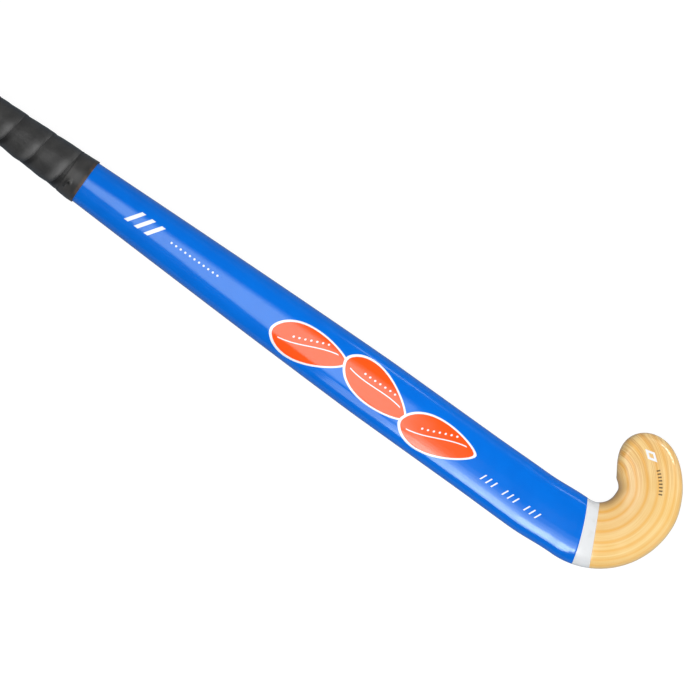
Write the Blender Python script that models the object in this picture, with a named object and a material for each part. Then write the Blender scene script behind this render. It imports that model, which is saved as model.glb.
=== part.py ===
"""Indoor hockey stick with a laminated hook head, a V-spliced cane handle and a wound grip.

Metres, +Z up. The stick lies on its flat playing face with the rounded back up. +X points along
the shaft to the head and +Y to the toe. The origin is under the middle of the whole stick.

Inside the script a place along the stick is a run: metres along the middle line from the line where
the shaft turns into the hook, negative up the shaft and positive round the hook. A place across a
section is x, positive on the hook's inner side. Depths are measured inwards from the lacquered skin.
"""

import math

import bmesh
import bpy

# Overall sizes
STICK_LENGTH = 0.927
GAP = 0.0003

# Hook, measured about its centre, with angles from the line where the shaft turns into it
HOOK_MIDDLE_RADIUS = 0.03865
HOOK_WIDTH = 0.0499
HOOK_ASIDE = 0.0407
TOE_ANGLE = math.radians(185.7)
TOE_END_LENGTH = 0.0314
TOE_NARROWING = 0.0014
TOE_NARROWING_FROM = math.radians(95)
TOE_NARROWING_TO = math.radians(115)
TOE_PULL_IN = 0.0015
TOE_PULL_FROM = math.radians(100)
TOE_CURL_FROM = math.radians(150)
TOE_CURL = 0.004

# Shaft widths, with each place given as a distance from the base of the head
BLADE_WIDTH = 0.0491
BLADE_WIDTH_FROM = 0.150
BLADE_WIDTH_TO = 0.105
SHAFT_TAPER_FROM = 0.240
SHAFT_TAPER_TO = 0.590
HANDLE_WIDTH = 0.0288
SHAFT_TAPER_POWER = 1.25
HEEL_SWEEP_FROM = 0.100

# Thickness of the skin, and the places it is given at
HANDLE_THICKNESS = 0.0252
SHAFT_THICKNESS = 0.0205
SHAFT_THICKNESS_AT = 0.300
HEAD_THICKNESS = 0.0172
HEAD_THICKNESS_AT = 0.060
TOE_THICKNESS = 0.0145

# Section shape: flat face with rounded edges below, arched back above
FACE_EDGE_RADIUS = 0.0035
BACK_ROUNDNESS_HANDLE = 2.0
BACK_ROUNDNESS_HEAD = 2.7
SECTION_CHANGE_FROM = 0.400
SECTION_CHANGE_TO = 0.590
TOE_BACK_ROUNDING = 0.009
OVAL_FLAT = 0.06

# Bow of the flat face
BOW_HEIGHT = 0.016
BOW_START = 0.065
BOW_TOP = 0.330
BOW_STRAIGHT_FROM = 0.520

# White band: the angles of its two edges, at the hook's inner side and at its outer side
BAND_TOP_INNER = math.radians(-6.7)
BAND_TOP_OUTER = math.radians(16.1)
BAND_FOOT_INNER = math.radians(34.4)
BAND_FOOT_OUTER = math.radians(28.1)
BAND_BULGE = 0.0016
BAND_THICKNESS = 0.0005
BAND_DEPTH = 0.0002
SKEW_START = -0.030
SKEW_END = math.radians(42)

# Layers
WRAP_THICKNESS = 0.0005
SLEEVE_THICKNESS = 0.0007
UNDERLAY_THICKNESS = 0.0008
FINISHING_TAPE_THICKNESS = 0.00045
GRIP_THICKNESS = 0.0016
GRIP_PITCH = 0.025
GRIP_RIDGE = 0.0004

# Ends of the layers, as distances from the base of the head
FINISHING_TAPE_FOOT = 0.508
FINISHING_TAPE_LENGTH = 0.0145
WRAP_UNDER_TAPE = 0.006
BINDING_FOOT = 0.500
BINDING_LENGTH = 0.045
HANDLE_STEP_LENGTH = 0.004
CAP_SKIRT_LENGTH = 0.018
CAP_FLANGE_THICKNESS = 0.004
CAP_PROUD = 0.002
CAP_EDGE = 0.0008

# Laminations and splice
LAMINATIONS = 8
BLUNT_END = 0.0006
TOE_BLUNT_END = 0.0002
SHORTEST_FACET = 0.001
SPLICE_APEX = 0.322
SPLICE_MOUTH = 0.520
SPLICE_LEG_END = 0.0012
SHOULDER_LENGTH = 0.001
CANE_SLABS = 3
RUBBER_THICKNESS = 0.0016

# Facets
BACK_STEPS = 16
EDGE_STEPS = 5
HOOK_STEP = math.radians(10)
TOE_STEPS = 7
SHAFT_STATIONS = (0.475, 0.430, 0.385, 0.345, 0.305, 0.265, 0.230, 0.195, 0.160, 0.125)
HANDLE_STATIONS = (0.880, 0.760, 0.660, 0.605, 0.585, 0.565)
GRIP_STEPS_PER_TURN = 4
GRIP_BACK_STEPS = 13
GRIP_EDGE_STEPS = 5

# What follows from the sizes
HOOK_INNER_RADIUS = HOOK_MIDDLE_RADIUS - HOOK_WIDTH / 2
HOOK_OUTER_RADIUS = HOOK_MIDDLE_RADIUS + HOOK_WIDTH / 2
HOOK_CENTRE_FROM_BASE = HOOK_OUTER_RADIUS
HEEL_SWEEP = HOOK_ASIDE - HOOK_MIDDLE_RADIUS
SLEEVE_DEPTH = WRAP_THICKNESS + GAP
WOOD_DEPTH = SLEEVE_DEPTH + SLEEVE_THICKNESS + GAP
WOOD_DEPTH_UNDER_BAND = BAND_DEPTH + BAND_THICKNESS + GAP
FINISHING_TAPE_TOP = FINISHING_TAPE_FOOT + FINISHING_TAPE_LENGTH
WRAP_TOP = FINISHING_TAPE_FOOT + WRAP_UNDER_TAPE
GRIP_FOOT = WRAP_TOP + GAP
GRIP_PROUD = FINISHING_TAPE_THICKNESS + GAP
UNDERLAY_DEPTH = GRIP_THICKNESS - GRIP_PROUD + GAP
HANDLE_WOOD_DEPTH = UNDERLAY_DEPTH + UNDERLAY_THICKNESS + GAP
BINDING_TOP = BINDING_FOOT + BINDING_LENGTH
HANDLE_STEP_FOOT = BINDING_TOP + GAP
UNDERLAY_FOOT = HANDLE_STEP_FOOT + HANDLE_STEP_LENGTH
CAP_INNER_FACE = STICK_LENGTH - CAP_FLANGE_THICKNESS
GRIP_TOP = CAP_INNER_FACE - GAP
CAP_SKIRT_FOOT = CAP_INNER_FACE - CAP_SKIRT_LENGTH
UNDERLAY_TOP = CAP_SKIRT_FOOT - GAP
HANDLE_WOOD_TOP = CAP_INNER_FACE - GAP


def smooth(x, start, end):
    """0 up to start and 1 from end on, with an S-curve between them."""
    t = min(max((x - start) / (end - start), 0.0), 1.0)
    return t * t * (3 - 2 * t)


def straight(x, points):
    """Straight-line reading of (place, value) pairs, whose places rise."""
    for (x0, y0), (x1, y1) in zip(points, points[1:]):
        if x <= x1:
            return y0 + (y1 - y0) * (x - x0) / (x1 - x0)
    return points[-1][1]


def run_at(from_base):
    """The run of a place on the shaft."""
    return HOOK_CENTRE_FROM_BASE - from_base


def shaft_width(from_base):
    taper = (from_base - SHAFT_TAPER_FROM) / (SHAFT_TAPER_TO - SHAFT_TAPER_FROM)
    taper = min(max(taper, 0.0), 1.0) ** SHAFT_TAPER_POWER
    width = BLADE_WIDTH + (HANDLE_WIDTH - BLADE_WIDTH) * taper
    return width + (HOOK_WIDTH - BLADE_WIDTH) * (1 - smooth(from_base, BLADE_WIDTH_TO, BLADE_WIDTH_FROM))


def shaft_middle(from_base):
    return HEEL_SWEEP * (1 - smooth(from_base, HOOK_CENTRE_FROM_BASE, HEEL_SWEEP_FROM))


def bow(from_base):
    """Height of the flat face: level at the head, arched in the shaft, straight down to the butt."""
    if from_base <= BOW_TOP:
        return BOW_HEIGHT * smooth(from_base, BOW_START, BOW_TOP)
    drop = BOW_HEIGHT - CAP_PROUD
    bend = BOW_STRAIGHT_FROM - BOW_TOP
    tail = STICK_LENGTH - BOW_STRAIGHT_FROM
    rate = drop / (bend * bend + 2 * bend * tail)
    if from_base <= BOW_STRAIGHT_FROM:
        return BOW_HEIGHT - rate * (from_base - BOW_TOP) ** 2
    return BOW_HEIGHT - rate * bend * bend - 2 * rate * bend * (from_base - BOW_STRAIGHT_FROM)


def hook_middle_radius(angle):
    pull = TOE_PULL_IN * smooth(angle, TOE_PULL_FROM, TOE_CURL_FROM)
    curl = max(angle - TOE_CURL_FROM, 0.0) / (TOE_ANGLE - TOE_CURL_FROM)
    return HOOK_MIDDLE_RADIUS - pull - TOE_CURL * curl * curl


def hook_width(angle):
    return HOOK_WIDTH - TOE_NARROWING * smooth(angle, TOE_NARROWING_FROM, TOE_NARROWING_TO)


def rounded_end(distance, length):
    """The share of its full size that a rounded end has at a distance from its tip."""
    t = 1 - min(max(distance / length, 0.0), 1.0)
    return math.sqrt(1 - t * t)


def side_runs(run):
    """Runs along the inner and the outer edge at which the section of a middle run meets them.

    The sections turn from square across the shaft to the slanted edges of the white band, and
    from there to rays of the hook.
    """
    anchors = (
        (run_at(STICK_LENGTH), run_at(STICK_LENGTH), run_at(STICK_LENGTH)),
        (SKEW_START, SKEW_START, SKEW_START),
        band_edge(BAND_TOP_INNER, BAND_TOP_OUTER),
        band_edge(BAND_FOOT_INNER, BAND_FOOT_OUTER),
        band_edge(SKEW_END, SKEW_END),
        band_edge(TOE_ANGLE, TOE_ANGLE),
    )
    inner = straight(run, [(middle, inner) for middle, inner, _ in anchors])
    outer = straight(run, [(middle, outer) for middle, _, outer in anchors])
    return inner, outer


def band_edge(inner_angle, outer_angle):
    """Middle, inner and outer run of a line given by its angles at the two edges."""
    middle = (inner_angle + outer_angle) / 2 * HOOK_MIDDLE_RADIUS
    return middle, inner_angle * HOOK_INNER_RADIUS, outer_angle * HOOK_OUTER_RADIUS


def edge_point(run, nominal_radius, side):
    """Plan point on the inner (side 1) or outer (side -1) edge, with its full and its rounded width."""
    if run <= 0:
        from_base = HOOK_CENTRE_FROM_BASE - run
        return from_base, shaft_middle(from_base) + side * shaft_width(from_base) / 2
    angle = run / nominal_radius
    end = rounded_end((TOE_ANGLE - angle) * HOOK_MIDDLE_RADIUS, TOE_END_LENGTH)
    radius = hook_middle_radius(angle) - side * end * hook_width(angle) / 2
    return HOOK_CENTRE_FROM_BASE - radius * math.sin(angle), HOOK_ASIDE - radius * math.cos(angle)


class Section:
    """A section of the stick at a run, across its middle line."""

    def __init__(self, run):
        inner_run, outer_run = side_runs(run)
        inner = edge_point(inner_run, HOOK_INNER_RADIUS, 1)
        outer = edge_point(outer_run, HOOK_OUTER_RADIUS, -1)
        self.run = run
        self.middle = ((inner[0] + outer[0]) / 2, (inner[1] + outer[1]) / 2)
        across = (inner[0] - outer[0], inner[1] - outer[1])
        width = math.hypot(*across)
        self.half = width / 2
        if width:
            self.across = (across[0] / width, across[1] / width)
        else:
            self.across = (-math.sin(TOE_ANGLE), math.cos(TOE_ANGLE))
        from_base = HOOK_CENTRE_FROM_BASE - run
        angle = max(run, 0.0) / HOOK_MIDDLE_RADIUS
        tip = (TOE_ANGLE - angle) * HOOK_MIDDLE_RADIUS
        self.spread = self.half / max(rounded_end(tip, TOE_END_LENGTH), 1e-6)
        self.slot = splice_slot(from_base) if run < 0 else 0.0
        band_top = band_edge(BAND_TOP_INNER, BAND_TOP_OUTER)[0]
        band_foot = band_edge(BAND_FOOT_INNER, BAND_FOOT_OUTER)[0]
        near = smooth(run, SKEW_START, band_top) * (1 - smooth(run, band_top, band_foot))
        self.bulge = BAND_BULGE * near

        oval = smooth(from_base, SECTION_CHANGE_FROM, SECTION_CHANGE_TO) if run < 0 else 0.0
        if run < 0:
            heights = (
                (HEAD_THICKNESS_AT, HEAD_THICKNESS),
                (SHAFT_THICKNESS_AT, SHAFT_THICKNESS),
                (SHAFT_TAPER_TO, HANDLE_THICKNESS),
            )
            thickness = straight(from_base, heights)
            self.face = bow(from_base)
        else:
            thinning = smooth(angle, 0, TOE_ANGLE)
            thickness = HEAD_THICKNESS + (TOE_THICKNESS - HEAD_THICKNESS) * thinning
            self.face = 0.0
        self.edge_height = self.face + FACE_EDGE_RADIUS + (thickness / 2 - FACE_EDGE_RADIUS) * oval
        self.rise = (self.face + thickness - self.edge_height) * rounded_end(tip, TOE_BACK_ROUNDING)
        self.drop = (self.edge_height - self.face) * rounded_end(tip, FACE_EDGE_RADIUS)
        full_corner = (1 - OVAL_FLAT) * self.half
        corner = FACE_EDGE_RADIUS + (full_corner - FACE_EDGE_RADIUS) * oval
        self.corner = min(corner, full_corner)
        self.roundness = BACK_ROUNDNESS_HEAD + (BACK_ROUNDNESS_HANDLE - BACK_ROUNDNESS_HEAD) * oval

    def place(self, x, height, depth=0.0):
        """Point of the section at x and a height, on the line that bulges towards the head."""
        share = x / (self.half - depth) if self.half > depth else 0.0
        along = self.bulge * (1 - share * share)
        from_base = self.middle[0] + self.across[0] * x - self.across[1] * along
        aside = self.middle[1] + self.across[1] * x + self.across[0] * along
        return -from_base, aside, height

    def back(self, x, depth):
        """Height of the rounded back at x, for the surface at a depth."""
        share = min(abs(x) / (self.half - depth), 1.0) if self.half > depth else 1.0
        rise = max(self.rise - depth, 0.0)
        return self.edge_height + rise * (1 - share**self.roundness) ** (1 / self.roundness)

    def underside(self, x, depth):
        """Height of the flat face and its rounded edge at x, for the surface at a depth."""
        half = self.half - depth
        corner = max(self.corner - depth, 0.05 * half)
        over = min(max((abs(x) - (half - corner)) / corner, 0.0), 1.0)
        return self.edge_height - max(self.drop - depth, 0.0) * math.sqrt(1 - over * over)

    def ring(self, depth, back_steps=BACK_STEPS, edge_steps=EDGE_STEPS, extra=None):
        """The outline at a depth as a closed ring of points, from the inner edge over the back.

        extra, where given, takes the share of the way round and returns a change of depth.
        """
        count = back_steps + 1 + 2 * edge_steps
        points = []
        for i in range(back_steps + 1):
            here = depth - (extra(i / count) if extra else 0.0)
            turn = math.pi * i / back_steps
            reach = abs(math.cos(turn)) ** (2 / self.roundness)
            lift = max(math.sin(turn), 0.0) ** (2 / self.roundness)
            x = math.copysign(reach, math.cos(turn)) * (self.half - here)
            points.append(self.place(x, self.edge_height + (self.rise - here) * lift, here))
        for i in range(2 * edge_steps):
            here = depth - (extra((back_steps + 1 + i) / count) if extra else 0.0)
            half = self.half - here
            corner = max(self.corner - here, 0.05 * half)
            step = i + 1 if i < edge_steps else 2 * edge_steps - i
            turn = math.pi / 2 * step / edge_steps
            x = half - corner + corner * math.cos(turn)
            side = -1 if i < edge_steps else 1
            height = self.edge_height - (self.drop - here) * math.sin(turn)
            points.append(self.place(side * x, height, here))
        return points


def splice_slot(from_base):
    """Half width of the V slot between the legs of the blade, 0 below its apex."""
    mouth = shaft_width(SPLICE_MOUTH) / 2 - WOOD_DEPTH - SPLICE_LEG_END
    return max(mouth * (from_base - SPLICE_APEX) / (SPLICE_MOUTH - SPLICE_APEX), 0.0)


def wood_depth(run):
    """Depth of the bare wood: full under the layers, shallow under the white band, none in the head."""
    top = band_edge(BAND_TOP_INNER, BAND_TOP_OUTER)[0]
    foot = band_edge(BAND_FOOT_INNER, BAND_FOOT_OUTER)[0]
    steps = (
        (run_at(STICK_LENGTH), HANDLE_WOOD_DEPTH),
        (run_at(UNDERLAY_FOOT), HANDLE_WOOD_DEPTH),
        (run_at(HANDLE_STEP_FOOT), WOOD_DEPTH),
        (top - 3 * GAP, WOOD_DEPTH),
        (top - 2 * GAP, WOOD_DEPTH_UNDER_BAND),
        (foot + GAP, WOOD_DEPTH_UNDER_BAND),
        (foot + 2 * GAP, 0.0),
        (TOE_ANGLE * HOOK_MIDDLE_RADIUS, 0.0),
    )
    return straight(run, steps)


def bisect(wanted, good, bad):
    """The last place, from good towards bad, at which wanted still holds."""
    for _ in range(40):
        half_way = (good + bad) / 2
        if wanted(half_way):
            good = half_way
        else:
            bad = half_way
    return good


def new_object(name, mesh, finish):
    obj = bpy.data.objects.new(name, mesh)
    bpy.context.scene.collection.objects.link(obj)
    mesh.materials.append(finish)
    return obj


def loft(name, rings, finish, closed=False):
    """A solid through rings of equal count, capped at its ends or, when closed, joined end to end."""
    bm = bmesh.new()
    loops = [[bm.verts.new(point) for point in ring] for ring in rings]
    pairs = list(zip(loops, loops[1:]))
    if closed:
        pairs.append((loops[-1], loops[0]))
    for first, second in pairs:
        for i in range(len(first)):
            j = (i + 1) % len(first)
            bm.faces.new((first[i], first[j], second[j], second[i]))
    if not closed:
        bm.faces.new(loops[0])
        bm.faces.new(loops[-1])
    bmesh.ops.remove_doubles(bm, verts=bm.verts, dist=1e-6)
    bmesh.ops.recalc_face_normals(bm, faces=bm.faces)
    mesh = bpy.data.meshes.new(name)
    bm.to_mesh(mesh)
    bm.free()
    mesh.shade_smooth()
    mesh.set_sharp_from_angle(angle=math.radians(35))
    return new_object(name, mesh, finish)


def finish(name, colour, roughness, metallic=0.0):
    material = bpy.data.materials.new(name)
    material.use_nodes = True
    shader = material.node_tree.nodes["Principled BSDF"]
    shader.inputs["Base Color"].default_value = (*colour, 1.0)
    shader.inputs["Roughness"].default_value = roughness
    shader.inputs["Metallic"].default_value = metallic
    return material


def slanted_runs(start, end, steps):
    """Evenly spaced runs from start to end, both included."""
    return [start + (end - start) * i / steps for i in range(steps + 1)]


def shared_runs():
    """Runs of the sections that all layers of the shaft and the laminations share."""
    top = band_edge(BAND_TOP_INNER, BAND_TOP_OUTER)[0]
    foot = band_edge(BAND_FOOT_INNER, BAND_FOOT_OUTER)[0]
    runs = [run_at(place) for place in SHAFT_STATIONS]
    runs += slanted_runs(SKEW_START, top - 10 * GAP, 3)
    runs += [top - 4 * GAP, top - 3 * GAP, top - 2 * GAP, top, top + GAP]
    runs += [(top + foot) / 2, foot, foot + GAP, foot + 2 * GAP]
    hook_end = TOE_ANGLE * HOOK_MIDDLE_RADIUS
    toe_start = hook_end - TOE_END_LENGTH
    ray_start = SKEW_END * HOOK_MIDDLE_RADIUS
    rays = math.ceil((toe_start - ray_start) / (HOOK_STEP * HOOK_MIDDLE_RADIUS))
    runs += slanted_runs(ray_start, toe_start, rays)
    for i in range(1, TOE_STEPS):
        runs.append(toe_start + TOE_END_LENGTH * math.sin(math.pi / 2 * i / TOE_STEPS))
    return runs


def lamination_span(section, index):
    """x of the two sides of a lamination, cut by the V slot and by the outline."""
    depth = wood_depth(section.run)
    low_share = -1 + 2 * index / LAMINATIONS
    high_share = -1 + 2 * (index + 1) / LAMINATIONS
    spread = section.spread - depth
    half = section.half - depth
    low = low_share * spread + (GAP / 2 if index > 0 else 0.0)
    high = high_share * spread - (GAP / 2 if index < LAMINATIONS - 1 else 0.0)
    slot = section.slot + GAP / 2 if section.slot else 0.0
    if low_share >= 0:
        low = max(low, slot)
    else:
        high = min(high, -slot)
    return max(low, -half), min(high, half)


def lamination_ring(section, index, shares):
    depth = wood_depth(section.run)
    low, high = lamination_span(section, index)
    if index < LAMINATIONS / 2:
        low, high = high, low
    xs = [low + (high - low) * share for share in shares]
    top = [section.place(x, section.back(x, depth), depth) for x in xs]
    below = [section.place(x, section.underside(x, depth), depth) for x in reversed(xs)]
    return top + below


def make_laminations():
    runs = shared_runs()
    mouth = run_at(SPLICE_MOUTH)
    toe = TOE_ANGLE * HOOK_MIDDLE_RADIUS
    middle = run_at(SHAFT_TAPER_FROM)
    for index in range(LAMINATIONS):

        def wider_than(least, index=index):
            def test(run):
                low, high = lamination_span(Section(run), index)
                return high - low > least

            return test

        first = bisect(wider_than(BLUNT_END), middle, mouth)
        last = bisect(wider_than(TOE_BLUNT_END), middle, toe)
        between = [run for run in runs if first + SHORTEST_FACET < run < last - SHORTEST_FACET / 2]
        own = [first, *between, last]
        at_edge = index in (0, LAMINATIONS - 1)
        shares = (0, 0.35, 0.62, 0.82, 0.95, 1) if at_edge else (0, 0.5, 0.85, 1)
        rings = [lamination_ring(Section(run), index, shares) for run in own]
        colour = (0.86, 0.62, 0.34) if index % 2 else (0.80, 0.54, 0.27)
        loft(f"hook_lamination_{index + 1}", rings, finish(f"hardwood_{index + 1}", colour, 0.4))


def slab_ring(section, low_share, high_share):
    """Ring of a handle slab between two heights, given as shares of the wood's thickness."""
    depth = wood_depth(section.run)
    floor = section.underside(0.0, depth)
    height = section.back(0.0, depth) - floor
    low = floor + height * low_share if low_share > 0 else floor - height
    high = floor + height * high_share if high_share < 1 else floor + 2 * height

    def within(x):
        return min(section.back(x, depth), high) - max(section.underside(x, depth), low) > 0

    reach = bisect(within, 0.0, section.half - depth)
    if HOOK_CENTRE_FROM_BASE - section.run <= SPLICE_MOUTH:
        reach = min(reach, section.slot - GAP / 2)
    xs = [reach * math.sin(math.pi / 2 * i / 5) for i in range(-5, 6)]
    top = [section.place(x, min(section.back(x, depth), high), depth) for x in xs]
    below = [section.place(x, max(section.underside(x, depth), low), depth) for x in reversed(xs)]
    return top + below


def make_handle():
    wood_thickness = HANDLE_THICKNESS - 2 * HANDLE_WOOD_DEPTH
    rubber = RUBBER_THICKNESS / wood_thickness
    gap = GAP / wood_thickness
    cane = (1 - (CANE_SLABS - 1) * rubber) / CANE_SLABS
    slot_rate = splice_slot(SPLICE_MOUTH) / (SPLICE_MOUTH - SPLICE_APEX)
    tip = SPLICE_APEX + (GAP / 2 + BLUNT_END / 2) / slot_rate
    places = [HANDLE_WOOD_TOP]
    places += [place for place in HANDLE_STATIONS if place > UNDERLAY_FOOT]
    places += [UNDERLAY_FOOT, HANDLE_STEP_FOOT, SPLICE_MOUTH + SHOULDER_LENGTH, SPLICE_MOUTH]
    places += [place for place in SHAFT_STATIONS if place > tip + 10 * GAP]
    places.append(tip)
    sections = [Section(run_at(place)) for place in places]
    names = ("face", "middle", "back")
    wood = (0.70, 0.52, 0.30)
    black = (0.03, 0.03, 0.03)
    for i in range(CANE_SLABS):
        low = i * (cane + rubber) + gap / 2 if i else 0.0
        high = i * (cane + rubber) + cane - gap / 2 if i < CANE_SLABS - 1 else 1.0
        rings = [slab_ring(section, low, high) for section in sections]
        loft(f"cane_slab_{names[i]}", rings, finish(f"cane_{names[i]}", wood, 0.6))
    for i, name in enumerate(("face", "back")):
        low = (i + 1) * cane + i * rubber + gap / 2
        high = low + rubber - gap
        rings = [slab_ring(section, low, high) for section in sections]
        loft(f"rubber_spring_{name}", rings, finish(f"rubber_{name}", black, 0.8))


def tube(name, sections, outer_depth, inner_depth, look):
    """An open-ended skin through sections, between two depths."""
    outer = [section.ring(outer_depth) for section in sections]
    inner = [section.ring(inner_depth) for section in reversed(sections)]
    return loft(name, outer + inner, look, closed=True)


def sections_between(start, end, runs):
    """Sections from start to end, with the shared runs that lie clear of both between them."""
    between = [run for run in runs if start + SHORTEST_FACET < run < end - SHORTEST_FACET]
    return [Section(run) for run in [start, *between, end]]


def make_layers():
    runs = shared_runs()
    top = band_edge(BAND_TOP_INNER, BAND_TOP_OUTER)[0]
    foot = band_edge(BAND_FOOT_INNER, BAND_FOOT_OUTER)[0]

    wrap = sections_between(run_at(WRAP_TOP), top, runs)
    blue = finish("blue_lacquer", (0.0, 0.17, 0.77), 0.25)
    tube("blue_shaft_wrap", wrap, 0.0, WRAP_THICKNESS, blue)

    sleeve = sections_between(run_at(BINDING_FOOT - GAP), top - 4 * GAP, runs)
    glass = finish("glass_fibre", (0.75, 0.72, 0.60), 0.5)
    tube("glass_fibre_sleeve", sleeve, SLEEVE_DEPTH, SLEEVE_DEPTH + SLEEVE_THICKNESS, glass)

    band = [Section(run) for run in (top + GAP, (top + foot) / 2, foot)]
    white = finish("white_lacquer", (0.87, 0.87, 0.87), 0.3)
    tube("white_band", band, BAND_DEPTH, BAND_DEPTH + BAND_THICKNESS, white)

    binding = [Section(run_at(place)) for place in (BINDING_TOP, WRAP_TOP, BINDING_FOOT)]
    thread = finish("binding_thread", (0.35, 0.33, 0.28), 0.7)
    tube("splice_binding", binding, SLEEVE_DEPTH, SLEEVE_DEPTH + SLEEVE_THICKNESS, thread)

    places = [place for place in HANDLE_STATIONS if UNDERLAY_FOOT < place < UNDERLAY_TOP]
    underlay = [Section(run_at(place)) for place in [UNDERLAY_TOP, *places, UNDERLAY_FOOT + GAP]]
    foam = finish("underlay_foam", (0.20, 0.20, 0.20), 0.9)
    tube("grip_underlay", underlay, UNDERLAY_DEPTH, UNDERLAY_DEPTH + UNDERLAY_THICKNESS, foam)

    tape_places = (FINISHING_TAPE_TOP, WRAP_TOP, FINISHING_TAPE_FOOT)
    tape = [Section(run_at(place)) for place in tape_places]
    black = finish("finishing_tape_black", (0.02, 0.02, 0.02), 0.45)
    tube("finishing_tape", tape, -GRIP_PROUD, -GAP, black)


def make_grip():
    """The wound tape: plain where the finishing tape holds it, then ridged once for each turn."""
    shoulder = FINISHING_TAPE_TOP + GAP

    def outline(place, depth, height=0.0):
        def ridge(share):
            phase = (place - shoulder) / GRIP_PITCH - share
            return height * (0.5 - 0.5 * math.cos(2 * math.pi * phase))

        return Section(run_at(place)).ring(depth, GRIP_BACK_STEPS, GRIP_EDGE_STEPS, ridge)

    rings = [outline(GRIP_FOOT, 0.0), outline(shoulder, 0.0)]
    rings.append(outline(shoulder + GAP, GRIP_RIDGE / 2 - GRIP_PROUD, GRIP_RIDGE / 2))
    step = GRIP_PITCH / GRIP_STEPS_PER_TURN
    turns = math.floor((GRIP_TOP - shoulder) / step)
    for i in range(1, turns):
        rings.append(outline(shoulder + i * step, GRIP_RIDGE / 2 - GRIP_PROUD, GRIP_RIDGE))
    rings.append(outline(GRIP_TOP, GRIP_RIDGE / 2 - GRIP_PROUD))
    inner_depth = GRIP_THICKNESS - GRIP_PROUD
    inner_places = [GRIP_TOP] + [place for place in HANDLE_STATIONS if place > UNDERLAY_FOOT]
    rings += [outline(place, inner_depth) for place in inner_places]
    rings.append(outline(UNDERLAY_FOOT, inner_depth))
    rings.append(outline(HANDLE_STEP_FOOT, WRAP_THICKNESS))
    rings.append(outline(GRIP_FOOT, WRAP_THICKNESS))
    loft("grip_tape", rings, finish("grip_black", (0.045, 0.045, 0.045), 0.55), closed=True)


def make_butt_cap():
    end = Section(run_at(STICK_LENGTH))
    edge = Section(run_at(STICK_LENGTH - CAP_EDGE))
    inner = Section(run_at(CAP_INNER_FACE))
    foot = Section(run_at(CAP_SKIRT_FOOT))
    skirt_inner = UNDERLAY_DEPTH + UNDERLAY_THICKNESS
    rings = [
        end.ring(-CAP_PROUD + CAP_EDGE),
        edge.ring(-CAP_PROUD),
        inner.ring(-CAP_PROUD),
        inner.ring(UNDERLAY_DEPTH),
        foot.ring(UNDERLAY_DEPTH),
        foot.ring(skirt_inner),
        inner.ring(skirt_inner),
    ]
    loft("butt_cap", rings, finish("cap_black", (0.03, 0.03, 0.03), 0.5))


def centre_on_origin():
    """Moves every mesh so that the origin is under the middle of the stick's box."""
    objects = list(bpy.context.scene.objects)
    xs = [vertex.co.x for obj in objects for vertex in obj.data.vertices]
    ys = [vertex.co.y for obj in objects for vertex in obj.data.vertices]
    zs = [vertex.co.z for obj in objects for vertex in obj.data.vertices]
    for obj in objects:
        obj.location.x = -(min(xs) + max(xs)) / 2
        obj.location.y = -(min(ys) + max(ys)) / 2
        obj.location.z = -min(zs)


for old in list(bpy.data.objects):
    bpy.data.objects.remove(old, do_unlink=True)

make_laminations()
make_handle()
make_layers()
make_grip()
make_butt_cap()
centre_on_origin()
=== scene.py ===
# %% [markdown]
# # An indoor hockey stick
# The imported model gives the frame: where each solid sits, in metres. This lesson dresses it with
# smooth skins, lacquer, wood and a wound grip. The frame is loaded first. The finished looks may not
# outgrow it.

import math

import bmesh
import bpy
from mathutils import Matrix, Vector, noise


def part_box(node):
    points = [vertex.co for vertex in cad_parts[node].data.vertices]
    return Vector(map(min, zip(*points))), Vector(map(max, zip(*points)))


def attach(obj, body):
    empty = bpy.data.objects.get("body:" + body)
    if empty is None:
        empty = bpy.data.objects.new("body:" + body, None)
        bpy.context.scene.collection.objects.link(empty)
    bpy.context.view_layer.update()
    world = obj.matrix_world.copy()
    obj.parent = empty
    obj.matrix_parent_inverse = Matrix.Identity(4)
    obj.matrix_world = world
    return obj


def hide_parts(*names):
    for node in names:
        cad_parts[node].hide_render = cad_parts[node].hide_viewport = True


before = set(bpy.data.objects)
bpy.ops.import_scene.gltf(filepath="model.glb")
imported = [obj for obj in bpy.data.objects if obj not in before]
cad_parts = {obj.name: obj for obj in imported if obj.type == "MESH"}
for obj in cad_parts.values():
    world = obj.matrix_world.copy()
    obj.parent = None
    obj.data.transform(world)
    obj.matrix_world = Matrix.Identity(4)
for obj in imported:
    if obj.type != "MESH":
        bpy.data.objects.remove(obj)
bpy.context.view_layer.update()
print("solids in the frame:", len(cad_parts))

# %% [markdown]
# ## The shape of the stick as a few formulas
# A hockey stick is a long bar whose section changes slowly: oval in the hand, flat on one side and
# round on the other towards the head, and bent into a hook at the end. It could be cut from blocks or
# lofted by hand. Formulas are used here, because every skin, from wood to tape, is then the same
# section at another depth. A place along the stick is a run: metres from the line where the shaft
# turns into the hook, negative up the shaft and positive round the hook.

# %% Sizes of the stick, the same as those of the solids
STICK_LENGTH = 0.927
GAP = 0.0003

HOOK_MIDDLE_RADIUS = 0.03865
HOOK_WIDTH = 0.0499
HOOK_ASIDE = 0.0407
TOE_ANGLE = math.radians(185.7)
TOE_END_LENGTH = 0.0314
TOE_NARROWING = 0.0014
TOE_NARROWING_FROM = math.radians(95)
TOE_NARROWING_TO = math.radians(115)
TOE_PULL_IN = 0.0015
TOE_PULL_FROM = math.radians(100)
TOE_CURL_FROM = math.radians(150)
TOE_CURL = 0.004

BLADE_WIDTH = 0.0491
BLADE_WIDTH_FROM = 0.150
BLADE_WIDTH_TO = 0.105
SHAFT_TAPER_FROM = 0.240
SHAFT_TAPER_TO = 0.590
HANDLE_WIDTH = 0.0288
SHAFT_TAPER_POWER = 1.25
HEEL_SWEEP_FROM = 0.100

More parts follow.
